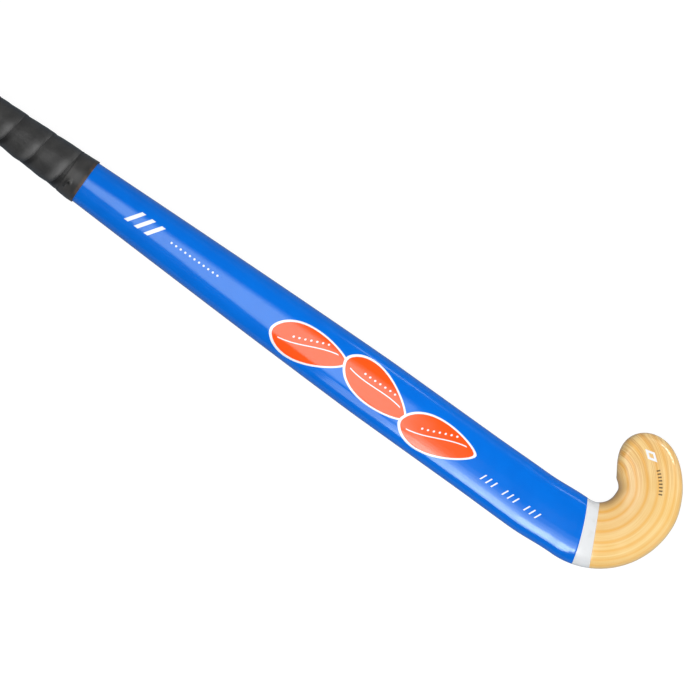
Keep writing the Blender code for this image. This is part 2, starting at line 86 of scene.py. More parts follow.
HANDLE_THICKNESS = 0.0252
SHAFT_THICKNESS = 0.0205
SHAFT_THICKNESS_AT = 0.300
HEAD_THICKNESS = 0.0172
HEAD_THICKNESS_AT = 0.060
TOE_THICKNESS = 0.0145

FACE_EDGE_RADIUS = 0.0035
BACK_ROUNDNESS_HANDLE = 2.0
BACK_ROUNDNESS_HEAD = 2.7
SECTION_CHANGE_FROM = 0.400
SECTION_CHANGE_TO = 0.590
TOE_BACK_ROUNDING = 0.009
OVAL_FLAT = 0.06

BOW_HEIGHT = 0.016
BOW_START = 0.065
BOW_TOP = 0.330
BOW_STRAIGHT_FROM = 0.520
CAP_PROUD = 0.002
CAP_FLANGE = 0.004

BAND_TOP_INNER = math.radians(-6.7)
BAND_TOP_OUTER = math.radians(16.1)
BAND_FOOT_INNER = math.radians(34.4)
BAND_FOOT_OUTER = math.radians(28.1)
BAND_BULGE = 0.0016
SKEW_START = -0.030
SKEW_END = math.radians(42)

HOOK_INNER_RADIUS = HOOK_MIDDLE_RADIUS - HOOK_WIDTH / 2
HOOK_OUTER_RADIUS = HOOK_MIDDLE_RADIUS + HOOK_WIDTH / 2
HOOK_CENTRE_FROM_BASE = HOOK_OUTER_RADIUS
HOOK_END = TOE_ANGLE * HOOK_MIDDLE_RADIUS
HEEL_SWEEP = HOOK_ASIDE - HOOK_MIDDLE_RADIUS
print("hook radii:", round(HOOK_INNER_RADIUS, 4), round(HOOK_OUTER_RADIUS, 4))


# %% Curves of the plan and of the flat face
def smooth(x, start, end):
    """0 up to start and 1 from end on, with an S-curve between them."""
    t = min(max((x - start) / (end - start), 0.0), 1.0)
    return t * t * (3 - 2 * t)


def straight(x, points):
    """Straight-line reading of (place, value) pairs, whose places rise."""
    for (x0, y0), (x1, y1) in zip(points, points[1:]):
        if x <= x1:
            return y0 + (y1 - y0) * (x - x0) / (x1 - x0)
    return points[-1][1]


def run_at(from_base):
    """The run of a place on the shaft, given as its distance from the base of the head."""
    return HOOK_CENTRE_FROM_BASE - from_base


def shaft_width(from_base):
    taper = (from_base - SHAFT_TAPER_FROM) / (SHAFT_TAPER_TO - SHAFT_TAPER_FROM)
    taper = min(max(taper, 0.0), 1.0) ** SHAFT_TAPER_POWER
    width = BLADE_WIDTH + (HANDLE_WIDTH - BLADE_WIDTH) * taper
    return width + (HOOK_WIDTH - BLADE_WIDTH) * (1 - smooth(from_base, BLADE_WIDTH_TO, BLADE_WIDTH_FROM))


def shaft_middle(from_base):
    return HEEL_SWEEP * (1 - smooth(from_base, HOOK_CENTRE_FROM_BASE, HEEL_SWEEP_FROM))


def bow(from_base):
    """Height of the flat face: level at the head, arched in the shaft, straight down to the butt."""
    if from_base <= BOW_TOP:
        return BOW_HEIGHT * smooth(from_base, BOW_START, BOW_TOP)
    drop = BOW_HEIGHT - CAP_PROUD
    bend = BOW_STRAIGHT_FROM - BOW_TOP
    tail = STICK_LENGTH - BOW_STRAIGHT_FROM
    rate = drop / (bend * bend + 2 * bend * tail)
    if from_base <= BOW_STRAIGHT_FROM:
        return BOW_HEIGHT - rate * (from_base - BOW_TOP) ** 2
    return BOW_HEIGHT - rate * bend * bend - 2 * rate * bend * (from_base - BOW_STRAIGHT_FROM)


def hook_middle_radius(angle):
    pull = TOE_PULL_IN * smooth(angle, TOE_PULL_FROM, TOE_CURL_FROM)
    curl = max(angle - TOE_CURL_FROM, 0.0) / (TOE_ANGLE - TOE_CURL_FROM)
    return HOOK_MIDDLE_RADIUS - pull - TOE_CURL * curl * curl


def hook_width(angle):
    return HOOK_WIDTH - TOE_NARROWING * smooth(angle, TOE_NARROWING_FROM, TOE_NARROWING_TO)


def rounded_end(distance, length):
    """The share of its full size that a rounded end has at a distance from its tip."""
    t = 1 - min(max(distance / length, 0.0), 1.0)
    return math.sqrt(1 - t * t)


def band_edge(inner_angle, outer_angle):
    """Middle, inner and outer run of a line given by its angles at the two edges."""
    middle = (inner_angle + outer_angle) / 2 * HOOK_MIDDLE_RADIUS
    return middle, inner_angle * HOOK_INNER_RADIUS, outer_angle * HOOK_OUTER_RADIUS


BAND_TOP = band_edge(BAND_TOP_INNER, BAND_TOP_OUTER)
BAND_FOOT = band_edge(BAND_FOOT_INNER, BAND_FOOT_OUTER)
SLANTS = (
    (run_at(STICK_LENGTH), run_at(STICK_LENGTH), run_at(STICK_LENGTH)),
    (SKEW_START, SKEW_START, SKEW_START),
    BAND_TOP,
    BAND_FOOT,
    band_edge(SKEW_END, SKEW_END),
    band_edge(TOE_ANGLE, TOE_ANGLE),
)
print("the white band covers runs", round(BAND_TOP[0], 4), "to", round(BAND_FOOT[0], 4))


# %% The section, and its place in the frame
def edge_point(run, nominal_radius, side):
    """Plan point, as (from_base, aside), on the inner (side 1) or the outer (side -1) edge."""
    if run <= 0:
        from_base = HOOK_CENTRE_FROM_BASE - run
        return from_base, shaft_middle(from_base) + side * shaft_width(from_base) / 2
    angle = run / nominal_radius
    end = rounded_end((TOE_ANGLE - angle) * HOOK_MIDDLE_RADIUS, TOE_END_LENGTH)
    radius = hook_middle_radius(angle) - side * end * hook_width(angle) / 2
    return HOOK_CENTRE_FROM_BASE - radius * math.sin(angle), HOOK_ASIDE - radius * math.cos(angle)


CAP_LOW, CAP_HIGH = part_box("butt_cap")
BASE_X = CAP_LOW.x + STICK_LENGTH
SHAFT_Y = (CAP_LOW.y + CAP_HIGH.y) / 2
OUTLINE_CROWDING = 0.6
LEAST_CORNER = 0.05
TINY = 1e-6
print("base of the head at x", round(BASE_X, 4), "and the shaft's middle at y", round(SHAFT_Y, 4))


class Section:
    """A section of the stick at a run. x is positive on the hook's inner side."""

    def __init__(self, run):
        inner_run = straight(run, [(middle, inner) for middle, inner, outer in SLANTS])
        outer_run = straight(run, [(middle, outer) for middle, inner, outer in SLANTS])
        inner = edge_point(inner_run, HOOK_INNER_RADIUS, 1)
        outer = edge_point(outer_run, HOOK_OUTER_RADIUS, -1)
        self.run = run
        self.middle = ((inner[0] + outer[0]) / 2, (inner[1] + outer[1]) / 2)
        across = (inner[0] - outer[0], inner[1] - outer[1])
        width = math.hypot(*across)
        self.half = width / 2
        if width > TINY:
            self.across = (across[0] / width, across[1] / width)
        else:
            self.across = (-math.sin(TOE_ANGLE), math.cos(TOE_ANGLE))
        from_base = HOOK_CENTRE_FROM_BASE - run
        angle = max(run, 0.0) / HOOK_MIDDLE_RADIUS
        tip = (TOE_ANGLE - angle) * HOOK_MIDDLE_RADIUS
        self.spread = self.half / max(rounded_end(tip, TOE_END_LENGTH), TINY)
        near = smooth(run, SKEW_START, BAND_TOP[0]) * (1 - smooth(run, BAND_TOP[0], BAND_FOOT[0]))
        self.bulge = BAND_BULGE * near

        oval = smooth(from_base, SECTION_CHANGE_FROM, SECTION_CHANGE_TO) if run < 0 else 0.0
        if run < 0:
            heights = (
                (HEAD_THICKNESS_AT, HEAD_THICKNESS),
                (SHAFT_THICKNESS_AT, SHAFT_THICKNESS),
                (SHAFT_TAPER_TO, HANDLE_THICKNESS),
            )
            thickness = straight(from_base, heights)
            self.face = bow(from_base)
        else:
            thinning = smooth(angle, 0, TOE_ANGLE)
            thickness = HEAD_THICKNESS + (TOE_THICKNESS - HEAD_THICKNESS) * thinning
            self.face = 0.0
        self.edge_height = self.face + FACE_EDGE_RADIUS + (thickness / 2 - FACE_EDGE_RADIUS) * oval
        self.rise = (self.face + thickness - self.edge_height) * rounded_end(tip, TOE_BACK_ROUNDING)
        self.drop = (self.edge_height - self.face) * rounded_end(tip, FACE_EDGE_RADIUS)
        full_corner = (1 - OVAL_FLAT) * self.half
        corner = FACE_EDGE_RADIUS + (full_corner - FACE_EDGE_RADIUS) * oval
        self.corner = min(corner, full_corner)
        self.roundness = BACK_ROUNDNESS_HEAD + (BACK_ROUNDNESS_HANDLE - BACK_ROUNDNESS_HEAD) * oval

    def place(self, x, height, depth):
        """Point in the frame at x and a height, on the line that bulges towards the head."""
        share = x / (self.half - depth) if self.half > depth else 0.0
        along = self.bulge * (1 - share * share)
        from_base = self.middle[0] + self.across[0] * x - self.across[1] * along
        aside = self.middle[1] + self.across[1] * x + self.across[0] * along
        return Vector((BASE_X - from_base, SHAFT_Y + aside, height))

    def point(self, turn, depth):
        """Point of the outline at a depth, and its x. turn is the share of the way round.

        The way starts at the inner edge, crosses the back and comes home under the flat face.
        """
        half = max(self.half - depth, 0.0)
        if turn <= 0.5:
            way = 2 * turn
            way -= OUTLINE_CROWDING * math.sin(2 * math.pi * way) / (2 * math.pi)
            angle = math.pi * way
            reach = abs(math.cos(angle)) ** (2 / self.roundness)
            lift = max(math.sin(angle), 0.0) ** (2 / self.roundness)
            x = math.copysign(reach, math.cos(angle)) * half
            height = self.edge_height + max(self.rise - depth, 0.0) * lift
        else:
            x = -half * math.cos(math.pi * (2 * turn - 1))
            corner = max(self.corner - depth, LEAST_CORNER * half)
            over = max((abs(x) - (half - corner)) / corner, 0.0) if corner else 0.0
            fall = math.sqrt(max(1 - over * over, 0.0))
            height = self.edge_height - max(self.drop - depth, 0.0) * fall
        return self.place(x, height, depth), x


crest = Section(run_at(BOW_TOP)).point(0.25, 0.0)[0]
print("top of the shaft at", [round(value, 4) for value in crest])

# %% [markdown]
# ## Skins wrapped from a flat sheet
# The lacquered foil of a real stick starts as a flat sheet that is wrapped round the wood. The meshes
# start the same way: one grid, whose columns go round the section and whose rows are stations along
# the stick, is laid on the formulas above. A station is a run and a depth, so a wall with two sides
# and rounded rims is only a list of stations that goes out along one side and comes home along the
# other. Merging the doubles closes the seam.


# %% A sheet wrapped along stations
STRIP = "strip"
SAME_POINT = 1e-6
NO_LENGTH = 1e-7


def grid_sheet(columns, rows):
    """A flat bmesh grid, and its vertices with their column and row."""
    bm = bmesh.new()
    bm.verts.layers.float_vector.new(STRIP)
    bmesh.ops.create_grid(bm, x_segments=columns, y_segments=rows, size=1.0)
    cells = []
    for vertex in bm.verts:
        column = round((vertex.co.x + 1) / 2 * columns)
        row = round((vertex.co.y + 1) / 2 * rows)
        cells.append((vertex, column, row))
    return bm, cells


def finished(name, bm, look, *nodes, slot):
    """The bmesh as a smooth piece that rides on the stick and stands for these solids."""
    bmesh.ops.remove_doubles(bm, verts=bm.verts, dist=SAME_POINT)
    bmesh.ops.dissolve_degenerate(bm, edges=bm.edges, dist=NO_LENGTH)
    open_edges = [edge for edge in bm.edges if edge.is_boundary]
    if open_edges:
        bmesh.ops.holes_fill(bm, edges=open_edges, sides=0)
    bmesh.ops.recalc_face_normals(bm, faces=bm.faces)
    mesh = bpy.data.meshes.new(name)
    bm.to_mesh(mesh)
    bm.free()
    mesh.shade_smooth()
    mesh.materials.append(look)
    piece = bpy.data.objects.new(name, mesh)
    bpy.context.scene.collection.objects.link(piece)
    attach(piece, "root")
    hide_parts(*nodes)
    print(name, "has", len(mesh.polygons), "faces")
    return piece


ROUND_COLUMNS = 176


def wrapped(name, stations, look, *nodes, slot, closed=True):
    """A sheet wrapped along (run, depth) stations.

    Each point keeps its run, its x as a share of the half width, and its turn, as STRIP.
    """
    rows = len(stations) if closed else len(stations) - 1
    bm, cells = grid_sheet(ROUND_COLUMNS, rows)
    strip = bm.verts.layers.float_vector[STRIP]
    sections = [(Section(run), depth) for run, depth in stations]
    for vertex, column, row in cells:
        section, depth = sections[row % len(stations)]
        turn = column % ROUND_COLUMNS / ROUND_COLUMNS
        vertex.co, x = section.point(turn, depth)
        share = x / section.spread if section.spread else 0.0
        vertex[strip] = (section.run, share, turn)
    return finished(name, bm, look, *nodes, slot=slot)


def even(start, end, step):
    """Places from start to end, both included, about a step apart."""
    count = max(math.ceil(abs(end - start) / step), 1)
    return [start + (end - start) * i / count for i in range(count + 1)]


def wall(runs, depth, thickness, rim):
    """Stations of a thin wall with rounded rims: out along its skin and back along its inside."""
    first, last = runs[0], runs[-1]
    quarter = even(0, math.pi / 2, math.pi / 8)
    corner = [(1 - math.cos(turn), 1 - math.sin(turn)) for turn in quarter]
    stations = [(first + rim * out, depth + rim * down) for out, down in corner]
    stations += [(run, depth) for run in runs if first + rim < run < last - rim]
    stations += [(last - rim * out, depth + rim * down) for out, down in reversed(corner)]
    inside = depth + thickness
    stations += [(run, inside) for run in reversed(runs)]
    return stations


# %% [markdown]
# ## Shader maths as plain sums
# Every finish below is procedural: it is worked out from where a point lies. Nodes could be wired one
# by one, but a formula is easier to read, so a small class lets sockets be added and multiplied.


# %% A finish and its wires
class Wire:
    """An output socket. Sums on it add Math nodes."""

    def __init__(self, finish, socket):
        self.finish = finish
        self.socket = socket

    def math(self, operation, *others):
        sockets = dict(enumerate((self, *others)))
        return self.finish.node("Math", {"operation": operation}, sockets)

    def __add__(self, other):
        return self.math("ADD", other)

    def __sub__(self, other):
        return self.math("SUBTRACT", other)

    def __mul__(self, other):
        return self.math("MULTIPLY", other)

    def __truediv__(self, other):
        return self.math("DIVIDE", other)

    def __rsub__(self, other):
        return self.finish.node("Math", {"operation": "SUBTRACT"}, {0: other, 1: self})

    def __abs__(self):
        return self.math("ABSOLUTE")

    __radd__ = __add__
    __rmul__ = __mul__

    def step(self, start, end):
        """0 up to start and 1 from end on, or the other way round where start is the higher."""
        ranges = {"Value": self, "From Min": min(start, end), "From Max": max(start, end)}
        rising = self.finish.node("MapRange", {"interpolation_type": "SMOOTHSTEP"}, ranges)
        return rising if start < end else 1.0 - rising


class Finish:
    """A material with a Principled shader, and the one method that adds any other node."""

    def __init__(self, name, colour, roughness, **constants):
        self.material = bpy.data.materials.new(name)
        self.material.use_nodes = True
        self.tree = self.material.node_tree
        self.shader = self.tree.nodes["Principled BSDF"]
        self.shader.inputs["Base Color"].default_value = (*colour, 1.0)
        self.shader.inputs["Roughness"].default_value = roughness
        for socket, value in constants.items():
            self.shader.inputs[socket.replace("_", " ")].default_value = value
        place = self.node("TexCoord", {}, {}, "Object")
        self.place = place
        self.x, self.y, self.z = (self.node("SeparateXYZ", {}, {0: place}, axis) for axis in "XYZ")

    def node(self, kind, settings, sockets, out=0):
        node = self.tree.nodes.new("ShaderNode" + kind)
        for setting, value in settings.items():
            setattr(node, setting, value)
        for socket, value in sockets.items():
            if isinstance(value, Wire):
                self.tree.links.new(value.socket, node.inputs[socket])
            else:
                node.inputs[socket].default_value = value
        return Wire(self, node.outputs[out])

    def noise(self, scale, detail=2.0, stretch=(1, 1, 1)):
        """Noise of 0 to 1 in cells of 1 / scale metres, drawn out along an axis by a low stretch."""
        parts = {0: self.place, 1: stretch}
        vector = self.node("VectorMath", {"operation": "MULTIPLY"}, parts)
        return self.node("TexNoise", {}, {"Vector": vector, "Scale": scale, "Detail": detail})

    def mixed(self, share, first, second):
        """First colour where share is 0 and second where it is 1."""
        colours = [c if isinstance(c, Wire) else (*c, 1.0) for c in (first, second)]
        sockets = {0: share, 6: colours[0], 7: colours[1]}
        return self.node("Mix", {"data_type": "RGBA"}, sockets, 2)

    def strip(self):
        """The three numbers that each point of the mesh keeps."""
        kept = self.node("Attribute", {"attribute_name": STRIP}, {}, "Vector")
        return [self.node("SeparateXYZ", {}, {0: kept}, axis) for axis in "XYZ"]

    def feed(self, **wires):
        """Link wires to the sockets of the shader, named with _ for a space."""
        for socket, wire in wires.items():
            self.tree.links.new(wire.socket, self.shader.inputs[socket.replace("_", " ")])

    def bumpy(self, height, distance):
        """Relief from a height of 0 to 1 that stands distance metres proud."""
        sockets = {"Height": height, "Distance": distance, "Strength": 1.0}
        self.feed(Normal=self.node("Bump", {}, sockets, "Normal"))


def srgb(red, green, blue):
    """A colour read on a 0 to 255 screen scale, as the light values that Blender mixes."""
    shares = (value / 255 for value in (red, green, blue))
    return tuple(v / 12.92 if v <= 0.04045 else ((v + 0.055) / 1.055) ** 2.4 for v in shares)


# %% [markdown]
# ## Printing
# Ink has no thickness that a mesh would need, so prints are masks in the finish below them. A print
# has its own directions, u along the shaft and v across it, and each shape is a distance past an
# outline that is turned into 1 inside and 0 outside.

# %% Shapes of the printing
INK_EDGE = 0.00018
WHITE_INK = srgb(236, 238, 242)
DARK_INK = srgb(70, 58, 44)
LEAF_ROUNDNESS = 0.62
LEAF_POINT = 0.3
LEAF_TIP_GROWTH = 1.6
LEAF_TIP_FADE = 0.99
ROW_END = 0.0002


class Print:
    """Places of a print on the round back: u along the shaft and v across it, turned by a tilt."""

    def __init__(self, finish, from_base, aside, tilt=0.0):
        x = finish.x - (BASE_X - from_base)
        y = finish.y - (SHAFT_Y + aside)
        self.u = x * math.cos(tilt) + y * math.sin(tilt)
        self.v = y * math.cos(tilt) - x * math.sin(tilt)

    def within(self, over):
        """1 where over, a distance past an outline in metres, is negative."""
        return over.step(INK_EDGE, -INK_EDGE)

    def leaf(self, length, width, grow=0.0):
        """A leaf, blunt at its butt end and pointed at its head end, grown by an outline."""
        share = self.u / (length / 2 + LEAF_TIP_GROWTH * grow)
        round_end = (1.0 - share * share).math("MAXIMUM", 0.0).math("POWER", LEAF_ROUNDNESS)
        half = round_end * (1.0 - share * LEAF_POINT) * (width / 2 + grow)
        return self.within(abs(self.v) - half) * abs(share).step(1.0, LEAF_TIP_FADE)

    def bar(self, length, width):
        """A straight bar, with its length along the shaft."""
        return self.within(abs(self.v) - width / 2) * self.within(abs(self.u) - length / 2)

    def row(self, pitch, slant=0.0):
        """The same print over and over along a row, each leaning by its slant."""
        u = self.u - self.v * slant
        self.u = ((u / pitch + 0.5).math("FRACT") - 0.5) * pitch
        return self

    def middle(self, reach, slant=0.0):
        """1 up to a reach from the middle and 0 beyond, to end a row."""
        return abs(self.u - self.v * slant).step(reach, reach - ROW_END)

    def dot(self, radius):
        """A round dot."""
        squares = self.u * self.u + self.v * self.v
        return self.within(squares.math("SQRT") - radius)


# %% [markdown]
# ## Wood of the head
# The head of such a stick is a bundle of thin hardwood strips, steamed, glued and bent round a former,
# then sanded and varnished. The glue lines run round the hook like the lanes of a track, and near the
# tip, where the strips are less bent, the outline cuts across them. They could be cut as grooves, but
# under varnish they are only darker lines, so the finish draws them and the mesh stays smooth. A layer
# is the share of the width, as the strip keeps it, with that straighter end worked in.

# %% Layers and grain of the wood
WOOD_PALE = srgb(237, 203, 137)
WOOD_WARM = srgb(229, 184, 106)
WOOD_LIGHT = srgb(245, 218, 164)
STRAIGHT_FROM = math.radians(105)
STRAIGHTENING = 0.45
GRAIN_FINENESS = (30.0, 55.0, 90.0)
GRAIN_DETAIL = 4.0
GRAIN_TONES = (0.34, 0.68)
PATCH_FINENESS = 28.0
PATCH_TONES = (0.35, 0.7)
PATCH_DEPTH = 0.4


def wood_layers(run, share):
    """The share of the width, 1 inside and -1 outside, of the strip that lies at a point."""
    angle = run * (1 / HOOK_MIDDLE_RADIUS)
    cosine = ((angle - STRAIGHT_FROM).math("MAXIMUM", 0.0) * STRAIGHTENING).math("COSINE")
    return share * cosine + (1 - cosine) * (2 * HOOK_MIDDLE_RADIUS / HOOK_WIDTH)


def wood_streaks(wood, run, layer):
    """Fine streaks that run along the layers."""
    along, across, deep = GRAIN_FINENESS
    strips = wood.node("CombineXYZ", {}, {0: run * along, 1: layer * across, 2: wood.z * deep})
    return wood.node("TexNoise", {}, {"Vector": strips, "Scale": 1.0, "Detail": GRAIN_DETAIL})


# %% Glue lines, shares of the width from the inner edge
GLUE_ORANGE = srgb(232, 168, 62)
GLUE_LINES = (0.145, 0.273, 0.438, 0.603, 0.738, 0.865, 0.947)
GLUE_CORE = 0.0022
GLUE_CORE_SOFT = 0.0088
GLUE_CORE_DEPTH = 0.7
GLUE_STAIN = 0.046
GLUE_STAIN_DEPTH = 0.62
GLUE_DEPTH_INSIDE = 1.3
GLUE_FADING = 0.7


def glue_lines(wood, colour, from_inner):
    """A thin line with a soft stain round it for each joint, fainter towards the outer edge."""
    for place in GLUE_LINES:
        depth = GLUE_DEPTH_INSIDE - GLUE_FADING * place
        off = abs(from_inner - place)
        stain = off.step(GLUE_STAIN, 0.0) * (GLUE_STAIN_DEPTH * depth)
        core = off.step(GLUE_CORE_SOFT, GLUE_CORE) * (GLUE_CORE_DEPTH * depth)
        colour = wood.mixed(stain.math("MAXIMUM", core), colour, GLUE_ORANGE)
    return colour


# %% Marks printed on the toe
KITE_X, KITE_Y = 0.4185, 0.0448
KITE_TILT = math.radians(-12)
KITE_SLIMNESS = 0.5
KITE_OUTSIDE = 0.0034
KITE_HOLLOW = 0.0016
DASH_PITCH = 0.0022
DASH_SHARE = -0.30
DASH_HALF_WIDTH = 0.0005
DASH_HALF_REACH = (0.062, 0.052)
DASH_MIDDLE = HOOK_END - 0.040
DASH_INK = 0.85
DASHES_EACH_WAY = 4
BACK_ONLY = (0.51, 0.49)


def toe_marks(wood, colour, run, share, turn):
    """A small white kite near the tip and an arc of short dark dashes round the bend, on the back."""
    on_back = turn.step(*BACK_ONLY)
    kite = Print(wood, BASE_X - KITE_X, KITE_Y - SHAFT_Y, KITE_TILT)
    spread = abs(kite.u) * KITE_SLIMNESS + abs(kite.v)
    outline = kite.within(spread - KITE_OUTSIDE) * (1.0 - kite.within(spread - KITE_HOLLOW))
    colour = wood.mixed(outline * on_back, colour, WHITE_INK)
    along_arc = ((run / DASH_PITCH).math("FRACT") - 0.5) * DASH_PITCH
    dash = kite.within(abs(along_arc) - DASH_HALF_WIDTH) * abs(share - DASH_SHARE).step(*DASH_HALF_REACH)
    part = kite.within(abs(run - DASH_MIDDLE) - DASH_PITCH * DASHES_EACH_WAY)
    return wood.mixed(dash * part * on_back * DASH_INK, colour, DARK_INK)


# %% The varnished wood
INNER_EDGE_SHADE = srgb(162, 122, 72)
INNER_SHADE_REACH = 0.15
INNER_SHADE_DEPTH = 0.72
TOE_BROWN = srgb(203, 142, 78)
TOE_GRAIN_FROM = HOOK_END - 0.055
TOE_GRAIN_TO = HOOK_END - 0.020
TOE_GRAIN_TONES = (0.46, 0.60)
TOE_GRAIN_DEPTH = 0.5
BEND_SHADE = (0.8, 0.3)
BEND_SHADE_DEPTH = 0.2
WOOD_RELIEF = 0.00004


def make_wood():
    varnish = {"Specular_IOR_Level": 0.3, "Coat_Weight": 0.5, "Coat_Roughness": 0.07}
    wood = Finish("varnished_wood", WOOD_PALE, 0.35, **varnish)
    run, share, turn = wood.strip()
    layer = wood_layers(run, share)
    from_inner = 0.5 - layer * 0.5
    streaks = wood_streaks(wood, run, layer)
    patches = wood.noise(PATCH_FINENESS)
    grain = wood.mixed(streaks.step(*GRAIN_TONES), WOOD_PALE, WOOD_WARM)
    colour = wood.mixed(patches.step(*PATCH_TONES) * PATCH_DEPTH, grain, WOOD_LIGHT)
    colour = glue_lines(wood, colour, from_inner)
    at_toe = run.step(TOE_GRAIN_FROM, TOE_GRAIN_TO)
    toe_grain = streaks.step(*TOE_GRAIN_TONES) * at_toe
    colour = wood.mixed(toe_grain * TOE_GRAIN_DEPTH, colour, TOE_BROWN)
    # Painted shade: the strips towards the inside of the bend are a little darker, where less light
    # falls.
    inside_bend_shade = from_inner.step(*BEND_SHADE) * (1.0 - at_toe)
    colour = wood.mixed(inside_bend_shade * BEND_SHADE_DEPTH, colour, TOE_BROWN)
    # Painted shade along the inner edge of the hook, where the rounded edge turns away from the lamps.
    rim = (0.5 - share * 0.5).step(INNER_SHADE_REACH, 0.0)
    colour = wood.mixed(rim * INNER_SHADE_DEPTH, colour, INNER_EDGE_SHADE)
    wood.feed(Base_Color=toe_marks(wood, colour, run, share, turn))
    wood.bumpy(streaks, WOOD_RELIEF)
    return wood.material


# %% Laminated head
WOOD_UNDER_WRAP = 0.0018
WOOD_UNDER_BAND = 0.0010
BED_STEP_FROM = 0.002
BED_STEP_TO = 0.001
RISE_AT_BAND_FOOT = ((-0.00025, WOOD_UNDER_BAND), (0.0, 0.0002), (0.0002, 0.00005))
BARE_FROM = 0.0006
HIDDEN_STEP = 0.01
HEAD_STEP = 0.002
SPLICE_APEX = 0.322
TOE_ROWS = 60


def head_stations():
    """From mid shaft, under the wrap and the band, round the hook to the tip of the toe."""
    top, foot = BAND_TOP[0], BAND_FOOT[0]
    hidden = even(run_at(SPLICE_APEX), top - BED_STEP_FROM, HIDDEN_STEP)
    stations = [(run, WOOD_UNDER_WRAP) for run in hidden]
    stations.append((top - BED_STEP_TO, WOOD_UNDER_BAND))
    stations += [(foot + ahead, depth) for ahead, depth in RISE_AT_BAND_FOOT]
    toe_start = HOOK_END - TOE_END_LENGTH
    stations += [(run, 0.0) for run in even(foot + BARE_FROM, toe_start, HEAD_STEP)]
    for i in range(1, TOE_ROWS + 1):
        stations.append((HOOK_END - TOE_END_LENGTH * (1 - i / TOE_ROWS) ** 2, 0.0))
    return stations


LAMINATIONS = [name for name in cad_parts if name.startswith("hook_lamination")]
wood_look = make_wood()
wrapped("laminated_head", head_stations(), wood_look, *LAMINATIONS, slot="hardwood", closed=False)

# %% [markdown]
# ## Blue lacquered wrap
# The shaft is wrapped in resin-soaked fibre and sprayed with a deep blue gloss lacquer. A plain colour
# would look like plastic, so the lacquer gets a clear coat, a slight unevenness that bends the
# reflections, and a faint mottling of the colour. A shine with a little less red in it keeps the blue
# deep beside its highlights. The printing is masks in the same finish, as ink is on the real stick.

# %% Leaves printed on the shaft
ORANGE_INK = srgb(255, 84, 22)
LEAF_SIZE = (0.060, 0.0260)
LEAF_OUTLINE = 0.0014
LEAF_TILT = math.radians(11.0)
LEAF_PLACES = ((0.3010, -0.0025, LEAF_TILT), (0.2420, 0.0010, -LEAF_TILT), (0.1830, -0.0025, LEAF_TILT))
VEIN_WAVE = 70.0
VEIN_SWING = 0.0034
VEIN_HALF = 0.0004
VEIN_LENGTH = 0.84
LEAF_DOTS_ASIDE = 0.0046
LEAF_DOTS_PITCH = 0.0044
LEAF_DOTS_REACH = 0.0154
DOT_RADIUS = 0.0008


def leaves(lacquer, colour):
    """A chain of three orange leaves, each with a white outline, a curved vein and a few dots."""
    length, width = LEAF_SIZE
    for from_base, aside, tilt in LEAF_PLACES:
        leaf = Print(lacquer, from_base, aside, tilt)
        colour = lacquer.mixed(leaf.leaf(length, width, LEAF_OUTLINE), colour, WHITE_INK)
        colour = lacquer.mixed(leaf.leaf(length, width), colour, ORANGE_INK)
        bend = leaf.v - (leaf.u * VEIN_WAVE).math("SINE") * VEIN_SWING
        vein = leaf.within(abs(bend) - VEIN_HALF) * leaf.leaf(length * VEIN_LENGTH, width)
        colour = lacquer.mixed(vein, colour, WHITE_INK)
        dots = Print(lacquer, from_base, aside, tilt)
        dots.v = bend - LEAF_DOTS_ASIDE
        part = dots.middle(LEAF_DOTS_REACH)
        colour = lacquer.mixed(dots.row(LEAF_DOTS_PITCH).dot(DOT_RADIUS) * part, colour, WHITE_INK)
    return colour


# %% Strokes near the grip and dashes near the head
STROKE_PLACE = (0.4535, 0.0005)
STROKE_SIZE = (0.0036, 0.0120)
STROKE_PITCH = 0.009
STROKE_SLANT = 0.7
STROKES_REACH = 0.0136
DOTS_PLACE = (0.4080, 0.0005)
DOTS_PITCH = 0.0042
DOTS_REACH = 0.0230
MARK_PLACE = (0.1130, -0.0060)
MARK_SIZE = (0.0011, 0.0052)
MARK_PITCH = 0.005
MARK_SLANT = 0.45
MARKS_REACH = 0.0301
GROUP_PITCH = 0.020
GROUP_REACH = 0.0076


def strokes(lacquer, colour):
    """Three slim white slanting strokes near the grip, with a row of dots running on from them."""
    strip = Print(lacquer, *STROKE_PLACE)
    part = strip.middle(STROKES_REACH, STROKE_SLANT)
    stroke = strip.row(STROKE_PITCH, STROKE_SLANT).bar(*STROKE_SIZE) * part
    dots = Print(lacquer, *DOTS_PLACE)
    part = dots.middle(DOTS_REACH)
    dots = dots.row(DOTS_PITCH).dot(DOT_RADIUS) * part
    return lacquer.mixed(dots, lacquer.mixed(stroke, colour, WHITE_INK), WHITE_INK)


def dashes(lacquer, colour):
    """Groups of thin slanting white dashes near the head."""
    row = Print(lacquer, *MARK_PLACE)
    part = row.middle(MARKS_REACH, MARK_SLANT)
    groups = Print(lacquer, *MARK_PLACE).row(GROUP_PITCH, MARK_SLANT).middle(GROUP_REACH)
    dash = row.row(MARK_PITCH, MARK_SLANT).bar(*MARK_SIZE)
    return lacquer.mixed(dash * part * groups, colour, WHITE_INK)


# %% The lacquer
BLUE = srgb(0, 107, 214)
BLUE_DEEP = srgb(0, 96, 201)
MOTTLE_FINENESS = 55.0
MOTTLE_TONES = (0.3, 0.8)
MOTTLE_DEPTH = 0.4
SHINE_TINT = (0.8, 1.0, 1.0, 1.0)
WAVE_FINENESS = 38.0
WAVE_SHARE = 0.8
PEEL_FINENESS = 900.0
PEEL_SHARE = 0.02
LACQUER_RELIEF = 0.0002


